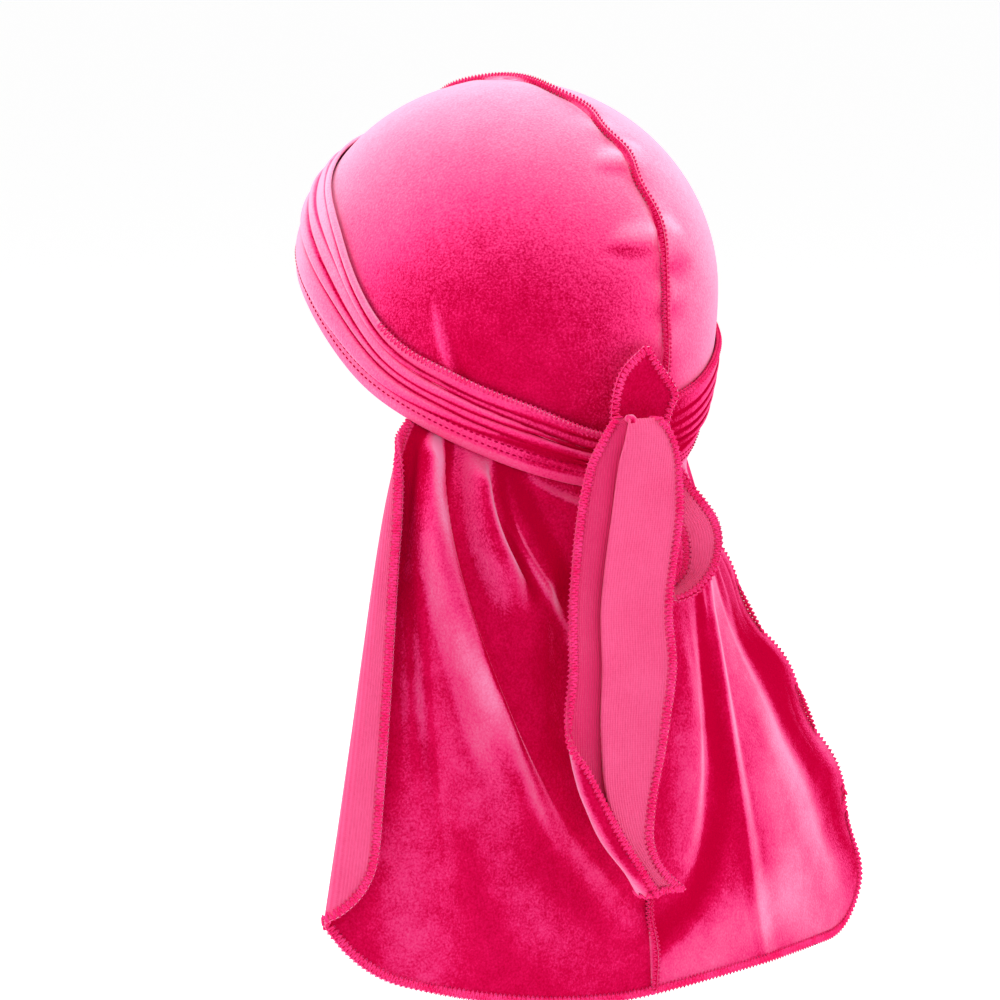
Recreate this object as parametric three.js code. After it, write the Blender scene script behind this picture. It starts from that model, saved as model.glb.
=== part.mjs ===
// Durag of stretch velvet, tied on, in the form it keeps round a head.
// Millimetres. +Z is up, the wearer faces -Y and the wearer's left is +X.
// The origin is the middle of the head hollow at its widest level.
import * as THREE from "three";

// Head hollow: half width, half length, height of the top, arc from the widest level to the top,
// and how slowly the hollow narrows below the widest level.
const HALF_WIDTH = 76.5;
const HALF_LENGTH = 96.5;
const TOP = 83;
const ARC = 86;
const LOW = 130;

// Cloth wall and the hairline kept between two pieces.
const CLOTH = 1.4;
const GAP = 0.4;

// Lower edge of the crown: its level at the ears, how far the nape lies below and the brow above it,
// how much higher it runs at the temples, and how softly it bends over the ears.
const EDGE_LEVEL = -40;
const NAPE_DROP = 37;
const BROW_RISE = 49;
const TEMPLE_RISE = 16;
const EAR_EASE = 0.16;

// Tail: half width of the hem, hem levels and depths at the seam and at the side, rounded corners,
// how late each side flares out, and the degrees from the nape to its fold and edge at the top.
const HEM_HALF = { left: 164, right: 178 };
const HEM_SEAM_Y = 93;
const HEM_SIDE_Y = 60;
const HEM_SEAM_Z = -285;
const HEM_SIDE_Z = { left: -243, right: -290 };
const CORNER_START = 0.7;
const CORNER_RISE = { left: 46, right: 62 };
const FLARE = { left: 0.9, right: 1.06 };
const NAPE_TO_FOLD = 73;
const FOLD_TO_EDGE = 3;

// Turned-back edge of the left tail: where it folds, roll radius, how soon it rolls over, puff.
const FOLD_U = 0.9;
const ROLL_RADIUS = 2.2;
const ROLL_BY = 0.12;
const PUFF = 4;
const PUFF_AT = 0.2;

// Wrap: where its two ends meet the knot (degrees round the head) and the height of its pleats.
const WRAP_LEFT_END = 72;
const WRAP_RIGHT_END = -267;
const PLEAT_RISE_BROW = 2.6;
const PLEAT_RISE_KNOT = 4.2;
const PLEAT_RISE_RIGHT = 1.5;

// Seams: height and thickness of the raised ridge.
const SEAM_HEIGHT = 2.6;
const SEAM_WALL = 2;

// Knot: middle and half sizes.
const KNOT_AT = [14, 99.5, -61];
const KNOT_HALF = [14.5, 8.5, 10.5];

// Folds of the tail. Each runs from (u0, w0) by way of (u1, w1) to (u2, w2), in hundredths of the way
// from the seam to the side edge (u) and from nape to hem (w), each taken as FOLD_SPAN long. Half
// widths at its two ends and rise are in millimetres, far says how many times wider a fold is towards
// the side edge, and lean how far its crest tips towards the seam.
const FOLDS = {
  left: [
    { u0: 86, w0: 0, u1: 79, w1: 33, u2: 60, w2: 80, half0: 8, half1: 12, far: 0.8, rise: 5, lean: 0.2 },
    { u0: 80, w0: 0, u1: 70, w1: 37, u2: 24, w2: 76, half0: 9, half1: 15, far: 2.2, rise: 10, lean: 0.3 },
    { u0: 62, w0: 0, u1: 57, w1: 17, u2: 40, w2: 27, half0: 8, half1: 9, far: 2, rise: 8, lean: 0.5 },
    { u0: 58, w0: 0, u1: 46, w1: 13, u2: 14, w2: 30, half0: 8, half1: 10, far: 1.2, rise: 7, lean: 0.2 },
    { u0: 30, w0: 10, u1: 34, w1: 34, u2: 18, w2: 62, half0: 16, half1: 26, far: 1, rise: -7, lean: 0 },
    { u0: 78, w0: 50, u1: 72, w1: 80, u2: 55, w2: 110, half0: 22, half1: 30, far: 1, rise: 3.5, lean: 0 },
  ],
  right: [
    { u0: 50, w0: 18, u1: 35, w1: 50, u2: 42, w2: 112, half0: 6, half1: 9, far: 3, rise: 3, lean: -0.3 },
    { u0: 33, w0: 20, u1: 44, w1: 62, u2: 3, w2: 95, half0: 14, half1: 20, far: 1, rise: -3, lean: 0 },
    { u0: 18, w0: 22, u1: 30, w1: 62, u2: 2, w2: 86, half0: 14, half1: 20, far: 1, rise: 2.5, lean: 0 },
    { u0: 62, w0: 20, u1: 78, w1: 58, u2: 92, w2: 105, half0: 13, half1: 17, far: 1, rise: -2, lean: 0 },
    { u0: 42, w0: 0, u1: 46, w1: 12, u2: 50, w2: 32, half0: 8, half1: 11, far: 1, rise: 3, lean: 0.2 },
    { u0: 68, w0: 0, u1: 68, w1: 20, u2: 70, w2: 45, half0: 9, half1: 12, far: 1, rise: 2, lean: 0 },
  ],
};
const FOLD_SPAN = 2;

// Pleats of the wrap from its lower edge up: crest or crease, share of the width, height of the crest.
const PLEATS = [
  { across: 0, height: 0.1 },
  { across: 0.12, height: 0.2 },
  { across: 0.25, height: 0 },
  { across: 0.345, height: 1 },
  { across: 0.44, height: 0.1 },
  { across: 0.52, height: 0.9 },
  { across: 0.6, height: 0.1 },
  { across: 0.67, height: 0.8 },
  { across: 0.735, height: 0.1 },
  { across: 0.8, height: 0.7 },
  { across: 0.87, height: 0.1 },
  { across: 1, height: 0.2 },
];

// Top edge of the wrap: its arc above the widest level, every 20 degrees from the nape to the brow.
const WRAP_TOP = [
  { left: -54, right: -41 },
  { left: -51, right: -33.5 },
  { left: -40, right: -22 },
  { left: -28.5, right: -12 },
  { left: -12, right: 4 },
  { left: 26, right: 30 },
  { left: 46, right: 47 },
  { left: 59, right: 59 },
  { left: 66, right: 66 },
  { left: 68, right: 68 },
];

// Right side edge of the tail from nape to hem: how far it stands out, and the height of its ripple.
const EDGE_SWING = [
  { out: -6.5 },
  { out: -5.5 },
  { out: -5 },
  { out: -5 },
  { out: -3 },
  { out: 0.5 },
  { out: 2 },
  { out: 2.2 },
  { out: 0 },
  { out: -3.5 },
  { out: -6 },
];
const EDGE_RIPPLE = 1.8;

// Strips of the tie: middle line, half width, heading of the cloth's face round +Z, cupping of the
// edges towards that face, and how much of one edge is turned over.
const LONG_END = [
  { x: 18, y: 103.6, z: -50, half: 8, face: 14, cup: 0, turn: 0 },
  { x: 21, y: 104.6, z: -45.5, half: 7.5, face: 16, cup: 0, turn: 0 },
  { x: 22.4, y: 107.4, z: -43.8, half: 8.5, face: 18, cup: -0.5, turn: 0 },
  { x: 23.6, y: 110, z: -46.8, half: 11.8, face: 20, cup: -1.5, turn: 0 },
  { x: 25.2, y: 111.8, z: -53, half: 15.6, face: 20, cup: -2, turn: 0 },
  { x: 26.8, y: 112, z: -62, half: 19, face: 20, cup: -2, turn: 0 },
  { x: 27, y: 109.4, z: -82, half: 21, face: 20, cup: -1, turn: 0 },
  { x: 27.4, y: 105.8, z: -103, half: 21.2, face: 20, cup: 0.5, turn: 0 },
  { x: 28, y: 104, z: -122, half: 21, face: 20, cup: 1.5, turn: 0 },
  { x: 26, y: 103, z: -144, half: 21.6, face: 20, cup: 2, turn: 0 },
  { x: 27.5, y: 103, z: -166, half: 19.7, face: 20, cup: 2, turn: 3 },
  { x: 28, y: 103.5, z: -189, half: 16.4, face: 18, cup: 2.5, turn: 11 },
  { x: 26.3, y: 104, z: -203, half: 12.4, face: 16, cup: 2, turn: 13 },
  { x: 23.2, y: 105, z: -215, half: 8.6, face: 15, cup: 1, turn: 13 },
  { x: 15.4, y: 106, z: -227.5, half: 7.2, face: 14, cup: 0.5, turn: 12 },
  { x: 5.7, y: 107, z: -238.5, half: 8.3, face: 14, cup: 0, turn: 12 },
];
const SHORT_END = [
  { x: 15.2, y: 100, z: -48.5, half: 12.5, face: 10, cup: 1, turn: 0 },
  { x: 14.8, y: 100.2, z: -43, half: 13.6, face: 10, cup: 1, turn: 0 },
  { x: 13.4, y: 100.7, z: -36.7, half: 14.7, face: 10, cup: 1.2, turn: 0 },
  { x: 14.8, y: 101.1, z: -29.7, half: 11.9, face: 10, cup: 1, turn: 0 },
  { x: 15.3, y: 101.3, z: -23.7, half: 7.7, face: 10, cup: 0.5, turn: 0 },
  { x: 13.4, y: 101.2, z: -18.7, half: 2.8, face: 10, cup: 0, turn: 0 },
  { x: 12.6, y: 101, z: -17, half: 1.2, face: 10, cup: 0, turn: 0 },
];
// Loop of strap beside the knot: middle line, half width front to back, tilt of its width upwards
// and turn towards the right.
const LOOP = [
  { x: -2, y: 101, z: -68, half: 5, tilt: 10, turn: 10 },
  { x: -4.5, y: 102, z: -75, half: 6, tilt: 15, turn: 20 },
  { x: -10, y: 102, z: -83, half: 7, tilt: 20, turn: 30 },
  { x: -16, y: 101.5, z: -91.5, half: 7.5, tilt: 20, turn: 38 },
  { x: -19, y: 100.5, z: -101, half: 7.5, tilt: 15, turn: 38 },
  { x: -18, y: 99.5, z: -110, half: 7, tilt: 8, turn: 30 },
  { x: -13, y: 98.5, z: -116.5, half: 6.5, tilt: 0, turn: 15 },
  { x: -7.5, y: 98.2, z: -119.5, half: 6, tilt: 0, turn: 5 },
  { x: -2.8, y: 98.5, z: -120.5, half: 5, tilt: 0, turn: 0 },
];

const rad = THREE.MathUtils.degToRad;
const smooth = THREE.MathUtils.smoothstep;
const lerp = THREE.MathUtils.lerp;

// Point of the head: phi degrees round it (0 left ear, 90 nape), s the arc above the widest level.
function onHead(phi, s, lift) {
  const ring = s > 0 ? Math.cos(s / ARC) : Math.sqrt(1 - (s / LOW) ** 2);
  const height = s > 0 ? (TOP + lift) * Math.sin(s / ARC) : s;
  return new THREE.Vector3(
    (HALF_WIDTH + lift) * ring * Math.cos(rad(phi)),
    (HALF_LENGTH + lift) * ring * Math.sin(rad(phi)),
    height,
  );
}

function edgeLevel(phi) {
  const back = Math.sin(rad(phi));
  const ahead = 0.5 * (Math.hypot(back, EAR_EASE) - back);
  const extra = BROW_RISE - NAPE_DROP + 2 * TEMPLE_RISE * (1 - back ** 2);
  return EDGE_LEVEL - NAPE_DROP * back + ahead * extra;
}

// Value of every named column of a table at t from 0 to 1, on a smooth curve through its rows.
function along(table, t) {
  const place = t * (table.length - 1);
  const i = Math.min(Math.floor(place), table.length - 2);
  const f = place - i;
  const row = {};
  for (const key of Object.keys(table[0])) {
    const b = table[i][key];
    const c = table[i + 1][key];
    const a = i > 0 ? table[i - 1][key] : 2 * b - c;
    const d = i + 2 < table.length ? table[i + 2][key] : 2 * c - b;
    const bend = 2 * a - 5 * b + 4 * c - d;
    const twist = 3 * b - a - 3 * c + d;
    row[key] = 0.5 * (2 * b + (c - a) * f + bend * f * f + twist * f ** 3);
  }
  return row;
}

// Tail without its folds: straight lines from the crown's edge down to the hem.
function tailPhi(u) {
  if (u <= FOLD_U) return 90 - (NAPE_TO_FOLD * u) / FOLD_U;
  return 90 - NAPE_TO_FOLD - (FOLD_TO_EDGE * (u - FOLD_U)) / (1 - FOLD_U);
}

function hemShare(u, side) {
  const q = THREE.MathUtils.clamp((u - CORNER_START) / (1 - CORNER_START), 0, 1);
  const drop = HEM_SIDE_Z[side] - EDGE_LEVEL;
  return 1 + (CORNER_RISE[side] * (1 - Math.sqrt(1 - q * q))) / drop;
}

function tailBase(u, w, side) {
  const phi = tailPhi(u);
  const top = onHead(phi, edgeLevel(phi), CLOTH);
  const hem = new THREE.Vector3(
    HEM_HALF[side] * u,
    HEM_SEAM_Y - (HEM_SEAM_Y - HEM_SIDE_Y) * Math.abs(u) ** 1.7,
    HEM_SEAM_Z + (HEM_SIDE_Z[side] - HEM_SEAM_Z) * u * u,
  );
  const flare = w < 0 ? w : w ** lerp(1, FLARE[side], u);
  const swell = (w / PUFF_AT) * Math.exp(1 - w / PUFF_AT);
  const puff = side === "left" ? PUFF * smooth(u, 0.5, FOLD_U) * swell : 0;
  return new THREE.Vector3(
    lerp(top.x, hem.x, flare) + puff,
    lerp(top.y, hem.y, flare),
    lerp(top.z, hem.z, w),
  );
}

function tailFrame(u, w, side) {
  const step = 0.004;
  const across = tailBase(u + step, w, side).sub(tailBase(u - step, w, side)).normalize();
  const down = tailBase(u, w + step, side).sub(tailBase(u, w - step, side)).normalize();
  return { across, out: across.clone().cross(down).normalize() };
}

// Height of one fold at (u, w): a rounded ridge along its curve, fading at the far end.
function foldHeight(fold, u, w) {
  let best = Infinity;
  let at = 0;
  let edgeward = 0;
  for (let i = 0; i <= 24; i += 1) {
    const t = i / 24;
    const a = (1 - t) ** 2;
    const b = 2 * t * (1 - t);
    const c = t * t;
    const du = 100 * u - (a * fold.u0 + b * fold.u1 + c * fold.u2);
    const dw = 100 * w - (a * fold.w0 + b * fold.w1 + c * fold.w2);
    const d = Math.hypot(du, dw) * FOLD_SPAN;
    if (d < best) {
      best = d;
      at = t;
      const alongU = lerp(fold.u1 - fold.u0, fold.u2 - fold.u1, t);
      const alongW = lerp(fold.w1 - fold.w0, fold.w2 - fold.w1, t);
      edgeward = du * alongW - dw * alongU;
    }
  }
  const x = best / (lerp(fold.half0, fold.half1, at) * (edgeward > 0 ? fold.far : 1));
  if (x >= 1) return 0;
  const start = fold.w0 > 0 ? smooth(at, 0, 0.3) : 1;
  return fold.rise * (1 - x * x) ** 2 * start * (1 - smooth(at, 0.6, 1));
}

// Swing of the right side edge: how far the cloth stands out, with a ripple towards the edge.
function edgeSwing(u, w) {
  const ripple = EDGE_RIPPLE * Math.sin((2 * Math.PI * (w - 0.26)) / 0.2) * smooth(w, 0.1, 0.3);
  const level = THREE.MathUtils.clamp(w, 0, 1);
  return along(EDGE_SWING, level).out * smooth(u, 0.35, 0.85) + ripple * smooth(u, 0.6, 1);
}

function tailPoint(u, w, side) {
  const point = tailBase(u, w, side);
  const { across, out } = tailFrame(u, w, side);
  const tuck = smooth(w, 0, 0.05);
  for (const fold of FOLDS[side]) {
    const height = foldHeight(fold, u, w) * tuck;
    point.addScaledVector(out, height);
    point.addScaledVector(across, -fold.lean * Math.abs(height));
  }
  if (side === "right") point.addScaledVector(out, edgeSwing(u, w) * tuck);
  return point;
}

// Edge of the left tail rolled over outwards and laid back on the panel.
function turnedBack(u, w, side) {
  const level = w * hemShare(u, side);
  const point = tailPoint(FOLD_U, level, side);
  const { across, out } = tailFrame(FOLD_U, level, side);
  const wide = tailBase(1, level, side).distanceTo(tailBase(FOLD_U, level, side));
  const q = ((u - FOLD_U) / (1 - FOLD_U)) * (wide + 4 * smooth(level, 0, 0.2));
  const turn = Math.PI * smooth(level, 0, ROLL_BY);
  const curl = Math.min(q / ROLL_RADIUS, turn);
  const rest = q - curl * ROLL_RADIUS;
  point.addScaledVector(across, ROLL_RADIUS * Math.sin(curl) + rest * Math.cos(turn));
  point.addScaledVector(out, ROLL_RADIUS * (1 - Math.cos(curl)) + rest * Math.sin(turn));
  return point;
}

// Closed wall of cloth from the points of its outer face and the quads between them.
function thicken(points, quads, wall) {
  const triangles = [];
  for (const [a, b, c, d] of quads) {
    if (a !== b && b !== c && a !== c) triangles.push([a, b, c]);
    if (a !== c && c !== d && a !== d) triangles.push([a, c, d]);
  }
  const normals = points.map(() => new THREE.Vector3());
  const p = new THREE.Vector3();
  const q = new THREE.Vector3();
  for (const [a, b, c] of triangles) {
    p.subVectors(points[b], points[a]);
    q.subVectors(points[c], points[a]);
    p.cross(q);
    for (const i of [a, b, c]) normals[i].add(p);
  }
  const inner = points.map((point, i) => point.clone().addScaledVector(normals[i].normalize(), -wall));
  const count = points.length;
  const faces = [];
  const edges = new Map();
  for (const [a, b, c] of triangles) {
    faces.push(a, b, c, a + count, c + count, b + count);
    for (const [i, j] of [[a, b], [b, c], [c, a]]) {
      const back = `${j},${i}`;
      if (edges.has(back)) edges.delete(back);
      else edges.set(`${i},${j}`, [i, j]);
    }
  }
  for (const [i, j] of edges.values()) {
    faces.push(i, i + count, j + count, i, j + count, j);
  }
  const geometry = new THREE.BufferGeometry();
  const flat = [...points, ...inner].flatMap((point) => [point.x, point.y, point.z]);
  geometry.setAttribute("position", new THREE.Float32BufferAttribute(flat, 3));
  geometry.setIndex(faces);
  geometry.computeVertexNormals();
  return geometry;
}

// Sheet with every row as long as the next, thickened; flip says which way its face looks.
function sheet(rows, columns, pointAt, wall, flip) {
  const points = [];
  const quads = [];
  for (let i = 0; i <= rows; i += 1) {
    for (let j = 0; j <= columns; j += 1) points.push(pointAt(i / rows, j / columns));
  }
  const wide = columns + 1;
  for (let i = 0; i < rows; i += 1) {
    for (let j = 0; j < columns; j += 1) {
      const a = i * wide + j;
      const quad = [a, a + 1, a + wide + 1, a + wide];
      quads.push(flip ? quad.reverse() : quad);
    }
  }
  return thicken(points, quads, wall);
}

// Half of the crown with its half of the tail below the back part, in one cloth.
const CROWN_ROWS = 10;
const TAIL_ROWS = 21;
const BACK_STEPS = 20;
const EDGE_SHARES = [0.25, 0.5, 0.75, 1];
const FRONT_COLUMNS = 8;

function panel(side) {
  const left = side === "left";
  const shares = [];
  for (let i = 0; i <= BACK_STEPS; i += 1) shares.push((FOLD_U * i) / BACK_STEPS);
  for (const share of EDGE_SHARES) shares.push(lerp(FOLD_U, 1, share));
  const columns = shares.map((u) => ({ u, phi: tailPhi(u) }));
  const first = tailPhi(1);
  for (let i = 1; i <= FRONT_COLUMNS; i += 1) {
    columns.push({ u: null, phi: lerp(first, -90, i / FRONT_COLUMNS) });
  }
  const points = [onHead(90, (ARC * Math.PI) / 2, CLOTH)];
  points[0].x = GAP;
  const index = columns.map(({ u, phi }) => {
    const column = [0];
    const edge = edgeLevel(phi);
    for (let row = 1; row <= CROWN_ROWS; row += 1) {
      const s = lerp((ARC * Math.PI) / 2, edge, row / CROWN_ROWS);
      column.push(points.push(onHead(phi, s, CLOTH)) - 1);
    }
    if (u === null) return column;
    for (let row = 1; row <= TAIL_ROWS; row += 1) {
      const w = (row / TAIL_ROWS) ** 1.25;
      const rolled = left && u > FOLD_U;
      const point = rolled ? turnedBack(u, w, side) : tailPoint(u, w * hemShare(u, side), side);
      column.push(points.push(point) - 1);
    }
    return column;
  });
  for (const point of points) point.x = Math.max(point.x, GAP);
  const quads = [];
  for (let i = 0; i + 1 < index.length; i += 1) {
    const rows = Math.min(index[i].length, index[i + 1].length);
    for (let row = 0; row + 1 < rows; row += 1) {
      const quad = [index[i][row], index[i][row + 1], index[i + 1][row + 1], index[i + 1][row]];
      quads.push(left ? quad.reverse() : quad);
    }
  }
  if (!left) for (const point of points) point.x *= -1;
  return thicken(points, quads, CLOTH);
}

// Width of the wrap round the head, and its pleated face.
function fromNape(phi) {
  return ((phi + 450) % 360) - 180;
}

function wrapWidth(phi) {
  const turn = fromNape(phi);
  const top = along(WRAP_TOP, Math.abs(turn) / 180);
  return (turn > 0 ? top.right : top.left) - edgeLevel(phi);
}

function pleatRise(phi) {
  const back = Math.sin(rad(phi));
  if (fromNape(phi) > 0) return lerp(PLEAT_RISE_BROW, PLEAT_RISE_RIGHT, smooth(back, -0.6, 0.2));
  return lerp(PLEAT_RISE_BROW, PLEAT_RISE_KNOT, smooth(back, 0, 1));
}

function wrapPoint(phi, pleat) {
  const lift = 2 * CLOTH + GAP + 0.55 + pleatRise(phi) * pleat.height;
  return onHead(phi, edgeLevel(phi) + wrapWidth(phi) * pleat.across, lift);
}

function headWrap() {
  const last = PLEATS.length - 1;
  return sheet(46, last, (t, v) => {
    const phi = lerp(WRAP_LEFT_END, WRAP_RIGHT_END, t);
    return wrapPoint(phi, PLEATS[Math.round(v * last)]);
  }, CLOTH, false);
}

// Raised seam: a narrow fin standing on the cloth, slightly wavy.
function fin(steps, footAt) {
  return sheet(steps, 2, (t, v) => {
    const { foot, out } = footAt(t);
    const sway = 0.5 * Math.sin(t * 40) * v;
    const point = foot.clone().addScaledVector(out, 2 * GAP + SEAM_HEIGHT * v);
    point.x += SEAM_WALL / 2 + sway;
    return point;
  }, SEAM_WALL, true);
}

function crownSeam() {
  const top = (ARC * Math.PI) / 2;
  const front = edgeLevel(-90) + wrapWidth(-90) + 2.5;
  const back = edgeLevel(90) + wrapWidth(90) + 2.5;
  return fin(44, (t) => {
    const walk = lerp(front - top, top - back, t);
    const phi = walk < 0 ? -90 : 90;
    const s = top - Math.abs(walk);
    const foot = onHead(phi, s, CLOTH);
    const out = onHead(phi, s, CLOTH + 1).sub(foot).normalize();
    foot.x = 0;
    return { foot, out };
  });
}

function tailSeam() {
  return fin(20, (t) => {
    const w = lerp(0.04, 0.995, t);
    const foot = tailBase(0, w, "left");
    const { out } = tailFrame(0.01, w, "left");
    foot.x = 0;
    out.x = 0;
    return { foot, out: out.normalize() };
  });
}

// Hanging or standing end of the tie.
function tieEnd(table, steps, across, flip) {
  return sheet(steps, across, (t, v) => {
    const row = along(table, t);
    const wide = new THREE.Vector3(-Math.cos(rad(row.face)), Math.sin(rad(row.face)), 0);
    const out = new THREE.Vector3(Math.sin(rad(row.face)), Math.cos(rad(row.face)), 0);
    const turn = Math.max(row.turn, 0);
    const q = lerp(-row.half - turn, row.half, v);
    const fold = -row.half + 0.3;
    const over = Math.max(0, fold - q);
    const curl = Math.min(over / 1.6, Math.PI);
    const side = over > 0 ? fold - 1.6 * Math.sin(curl) + (over - curl * 1.6) : q;
    const lift = over > 0 ? 1.6 * (1 - Math.cos(curl)) : 0;
    const cup = row.cup * (side / row.half) ** 2;
    const point = new THREE.Vector3(row.x, row.y, row.z);
    return point.addScaledVector(wide, side).addScaledVector(out, cup + lift);
  }, CLOTH, flip);
}

function tieLoop() {
  return sheet(18, 4, (t, v) => {
    const row = along(LOOP, t);
    const q = lerp(-row.half, row.half, v);
    const rise = q * Math.sin(rad(row.tilt));
    const level = q * Math.cos(rad(row.tilt));
    const turn = rad(row.turn);
    return new THREE.Vector3(
      row.x - level * Math.sin(turn),
      row.y + level * Math.cos(turn),
      row.z + rise,
    );
  }, CLOTH, false);
}

// Tied lump, creased where the straps cross it.
function knot() {
  const geometry = new THREE.SphereGeometry(1, 16, 10);
  const positions = geometry.getAttribute("position");
  const point = new THREE.Vector3();
  for (let i = 0; i < positions.count; i += 1) {
    point.fromBufferAttribute(positions, i);
    const crease = 1 - 0.1 * Math.cos(5 * Math.atan2(point.z, point.y) + 2 * point.x);
    point.multiplyScalar(lerp(1, crease, 1 - point.x * point.x) / 1.1);
    point.multiply(new THREE.Vector3(...KNOT_HALF)).add(new THREE.Vector3(...KNOT_AT));
    positions.setXYZ(i, point.x, point.y, point.z);
  }
  geometry.computeVertexNormals();
  return geometry;
}

const group = new THREE.Group();

function add(name, geometry, colour) {
  const material = new THREE.MeshStandardMaterial({ color: colour, roughness: 0.8, metalness: 0 });
  const mesh = new THREE.Mesh(geometry, material);
  mesh.name = name;
  group.add(mesh);
}

const VELVET = 0xe0386f;
const WRONG_SIDE = 0xf47a9e;
const THREAD = 0xd94a7c;

add("left_panel", panel("left"), VELVET);
add("right_panel", panel("right"), VELVET);
add("crown_seam", crownSeam(), THREAD);
add("tail_seam", tailSeam(), THREAD);
add("head_wrap", headWrap(), VELVET);
add("knot", knot(), VELVET);
add("long_tie_end", tieEnd(LONG_END, 30, 8, true), WRONG_SIDE);
add("short_tie_end", tieEnd(SHORT_END, 8, 6, false), VELVET);
add("tie_loop", tieLoop(), VELVET);

export default group;
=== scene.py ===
"""Looks of a velvet durag, tied on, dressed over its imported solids.

Lengths inside the classes are millimetres in the part's own frame: +Z is up, the wearer faces -Y and
the wearer's left is +X. They become metres when a mesh is made.
"""

from __future__ import annotations

import logging
import math
from dataclasses import dataclass, field
from enum import Enum
from typing import Any, Mapping, Sequence

import bpy
import numpy as np
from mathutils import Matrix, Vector

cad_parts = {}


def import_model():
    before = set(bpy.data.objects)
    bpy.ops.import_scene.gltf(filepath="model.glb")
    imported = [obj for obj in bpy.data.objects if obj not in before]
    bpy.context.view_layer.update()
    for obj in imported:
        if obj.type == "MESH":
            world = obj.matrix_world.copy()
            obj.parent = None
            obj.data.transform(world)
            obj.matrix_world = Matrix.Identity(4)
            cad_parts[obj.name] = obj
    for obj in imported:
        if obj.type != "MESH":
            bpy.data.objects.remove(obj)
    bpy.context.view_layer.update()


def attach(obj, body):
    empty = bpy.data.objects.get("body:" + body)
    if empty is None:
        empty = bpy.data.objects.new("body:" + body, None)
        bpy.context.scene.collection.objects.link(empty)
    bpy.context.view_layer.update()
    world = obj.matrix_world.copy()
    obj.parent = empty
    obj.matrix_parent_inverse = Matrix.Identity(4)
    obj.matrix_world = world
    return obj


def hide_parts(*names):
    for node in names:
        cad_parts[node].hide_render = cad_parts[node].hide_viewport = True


LOG = logging.getLogger("durag")
MM = 0.001
# How far the rounded rim of a cloth stands out, as a share of its thickness.
RIM = 0.45
Array = np.ndarray
Faces = tuple[Array, int]
Mesh = tuple[Array, list[Faces]]
Pair = tuple[float, float]
Triple = tuple[float, float, float]
Colour = tuple[float, float, float, float]
Material = bpy.types.Material
Piece = bpy.types.Object


class Side(Enum):
    """The two halves of the durag, with the sign of X on each."""

    LEFT = 1
    RIGHT = -1


class Slot(Enum):
    """The record's material slots."""

    VELVET = "velvet"
    BACK = "velvet_back"
    THREAD = "seam_thread"


# Numbers and vectors


def blend(a: Any, b: Any, t: Any) -> Any:
    """Straight mix of a and b, a at t = 0 and b at t = 1."""
    return a + (b - a) * t


def smooth(x: Any, low: float, high: float) -> Array:
    """Soft step from 0 at low to 1 at high, with level ends."""
    q = np.clip((np.asarray(x, float) - low) / (high - low), 0.0, 1.0)
    return q * q * (3.0 - 2.0 * q)


def unit(v: Array) -> Array:
    """Vectors brought to length one."""
    return v / np.maximum(np.linalg.norm(v, axis=-1, keepdims=True), 1e-9)


def through(rows: Array, t: Array) -> Array:
    """Smooth curve through the rows of a table.

    Each column follows the cubic through its neighbouring rows, with straight ends.

    Args:
        rows: table of n rows.
        t: places from 0, the first row, to 1, the last.

    Returns:
        One row for each place.
    """
    rows = np.asarray(rows, float)
    ends = np.vstack([2 * rows[0] - rows[1], rows, 2 * rows[-1] - rows[-2]])
    place = np.asarray(t, float) * (len(rows) - 1)
    i = np.clip(place.astype(int), 0, len(rows) - 2)
    f = (place - i)[:, None]
    a, b, c, d = (ends[i + k] for k in range(4))
    bend = 2 * a - 5 * b + 4 * c - d
    twist = 3 * b - a - 3 * c + d
    return 0.5 * (2 * b + (c - a) * f + bend * f**2 + twist * f**3)


def along_line(points: Array) -> Array:
    """Length of a line of points from its start to each point."""
    steps = np.linalg.norm(np.diff(points, axis=0), axis=1)
    return np.concatenate([[0.0], np.cumsum(steps)])


def resample(lengths: Array, values: Array, at: Array) -> Array:
    """Rows of values, known at growing lengths, read off at other lengths."""
    return np.stack([np.interp(at, lengths, values[:, k]) for k in range(values.shape[1])], axis=1)


# Meshes


def mesh_object(
    name: str,
    points: Array,
    groups: Sequence[Faces],
    uv: Array,
    materials: Sequence[Material],
    nap_and_light: Array | None = None,
) -> Piece:
    """Makes one piece from arrays.

    Args:
        name: the piece's name.
        points: its vertices in millimetres.
        groups: arrays of faces with the same number of corners, each with its material's number.
        uv: place of each vertex on the cloth, in metres.
        materials: the piece's materials in order.
        nap_and_light: painted sheen at each vertex above zero and painted shade below zero, partly also the
            lie of the pile.

    Returns:
        The new object, at the origin.
    """
    mesh = bpy.data.meshes.new(name)
    loops = np.concatenate([faces.ravel() for faces, _ in groups]).astype(np.int32)
    sizes = np.concatenate([np.full(len(faces), faces.shape[1]) for faces, _ in groups])
    paint = np.concatenate([np.full(len(faces), number) for faces, number in groups])
    mesh.vertices.add(len(points))
    mesh.vertices.foreach_set("co", (points * MM).astype(np.float32).ravel())
    mesh.loops.add(len(loops))
    mesh.loops.foreach_set("vertex_index", loops)
    mesh.polygons.add(len(sizes))
    starts = np.concatenate([[0], np.cumsum(sizes)[:-1]]).astype(np.int32)
    mesh.polygons.foreach_set("loop_start", starts)
    mesh.polygons.foreach_set("material_index", paint.astype(np.int32))
    mesh.polygons.foreach_set("use_smooth", np.ones(len(sizes), dtype=bool))
    layer = mesh.uv_layers.new(name="cloth")
    layer.data.foreach_set("uv", uv[loops].astype(np.float32).ravel())
    if nap_and_light is not None:
        own = mesh.attributes.new("nap_and_light", "FLOAT", "POINT")
        own.data.foreach_set("value", nap_and_light.astype(np.float32))
    for material in materials:
        mesh.materials.append(material)
    mesh.update(calc_edges=True)
    mesh.validate()
    piece = bpy.data.objects.new(name, mesh)
    bpy.context.scene.collection.objects.link(piece)
    return piece


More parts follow.
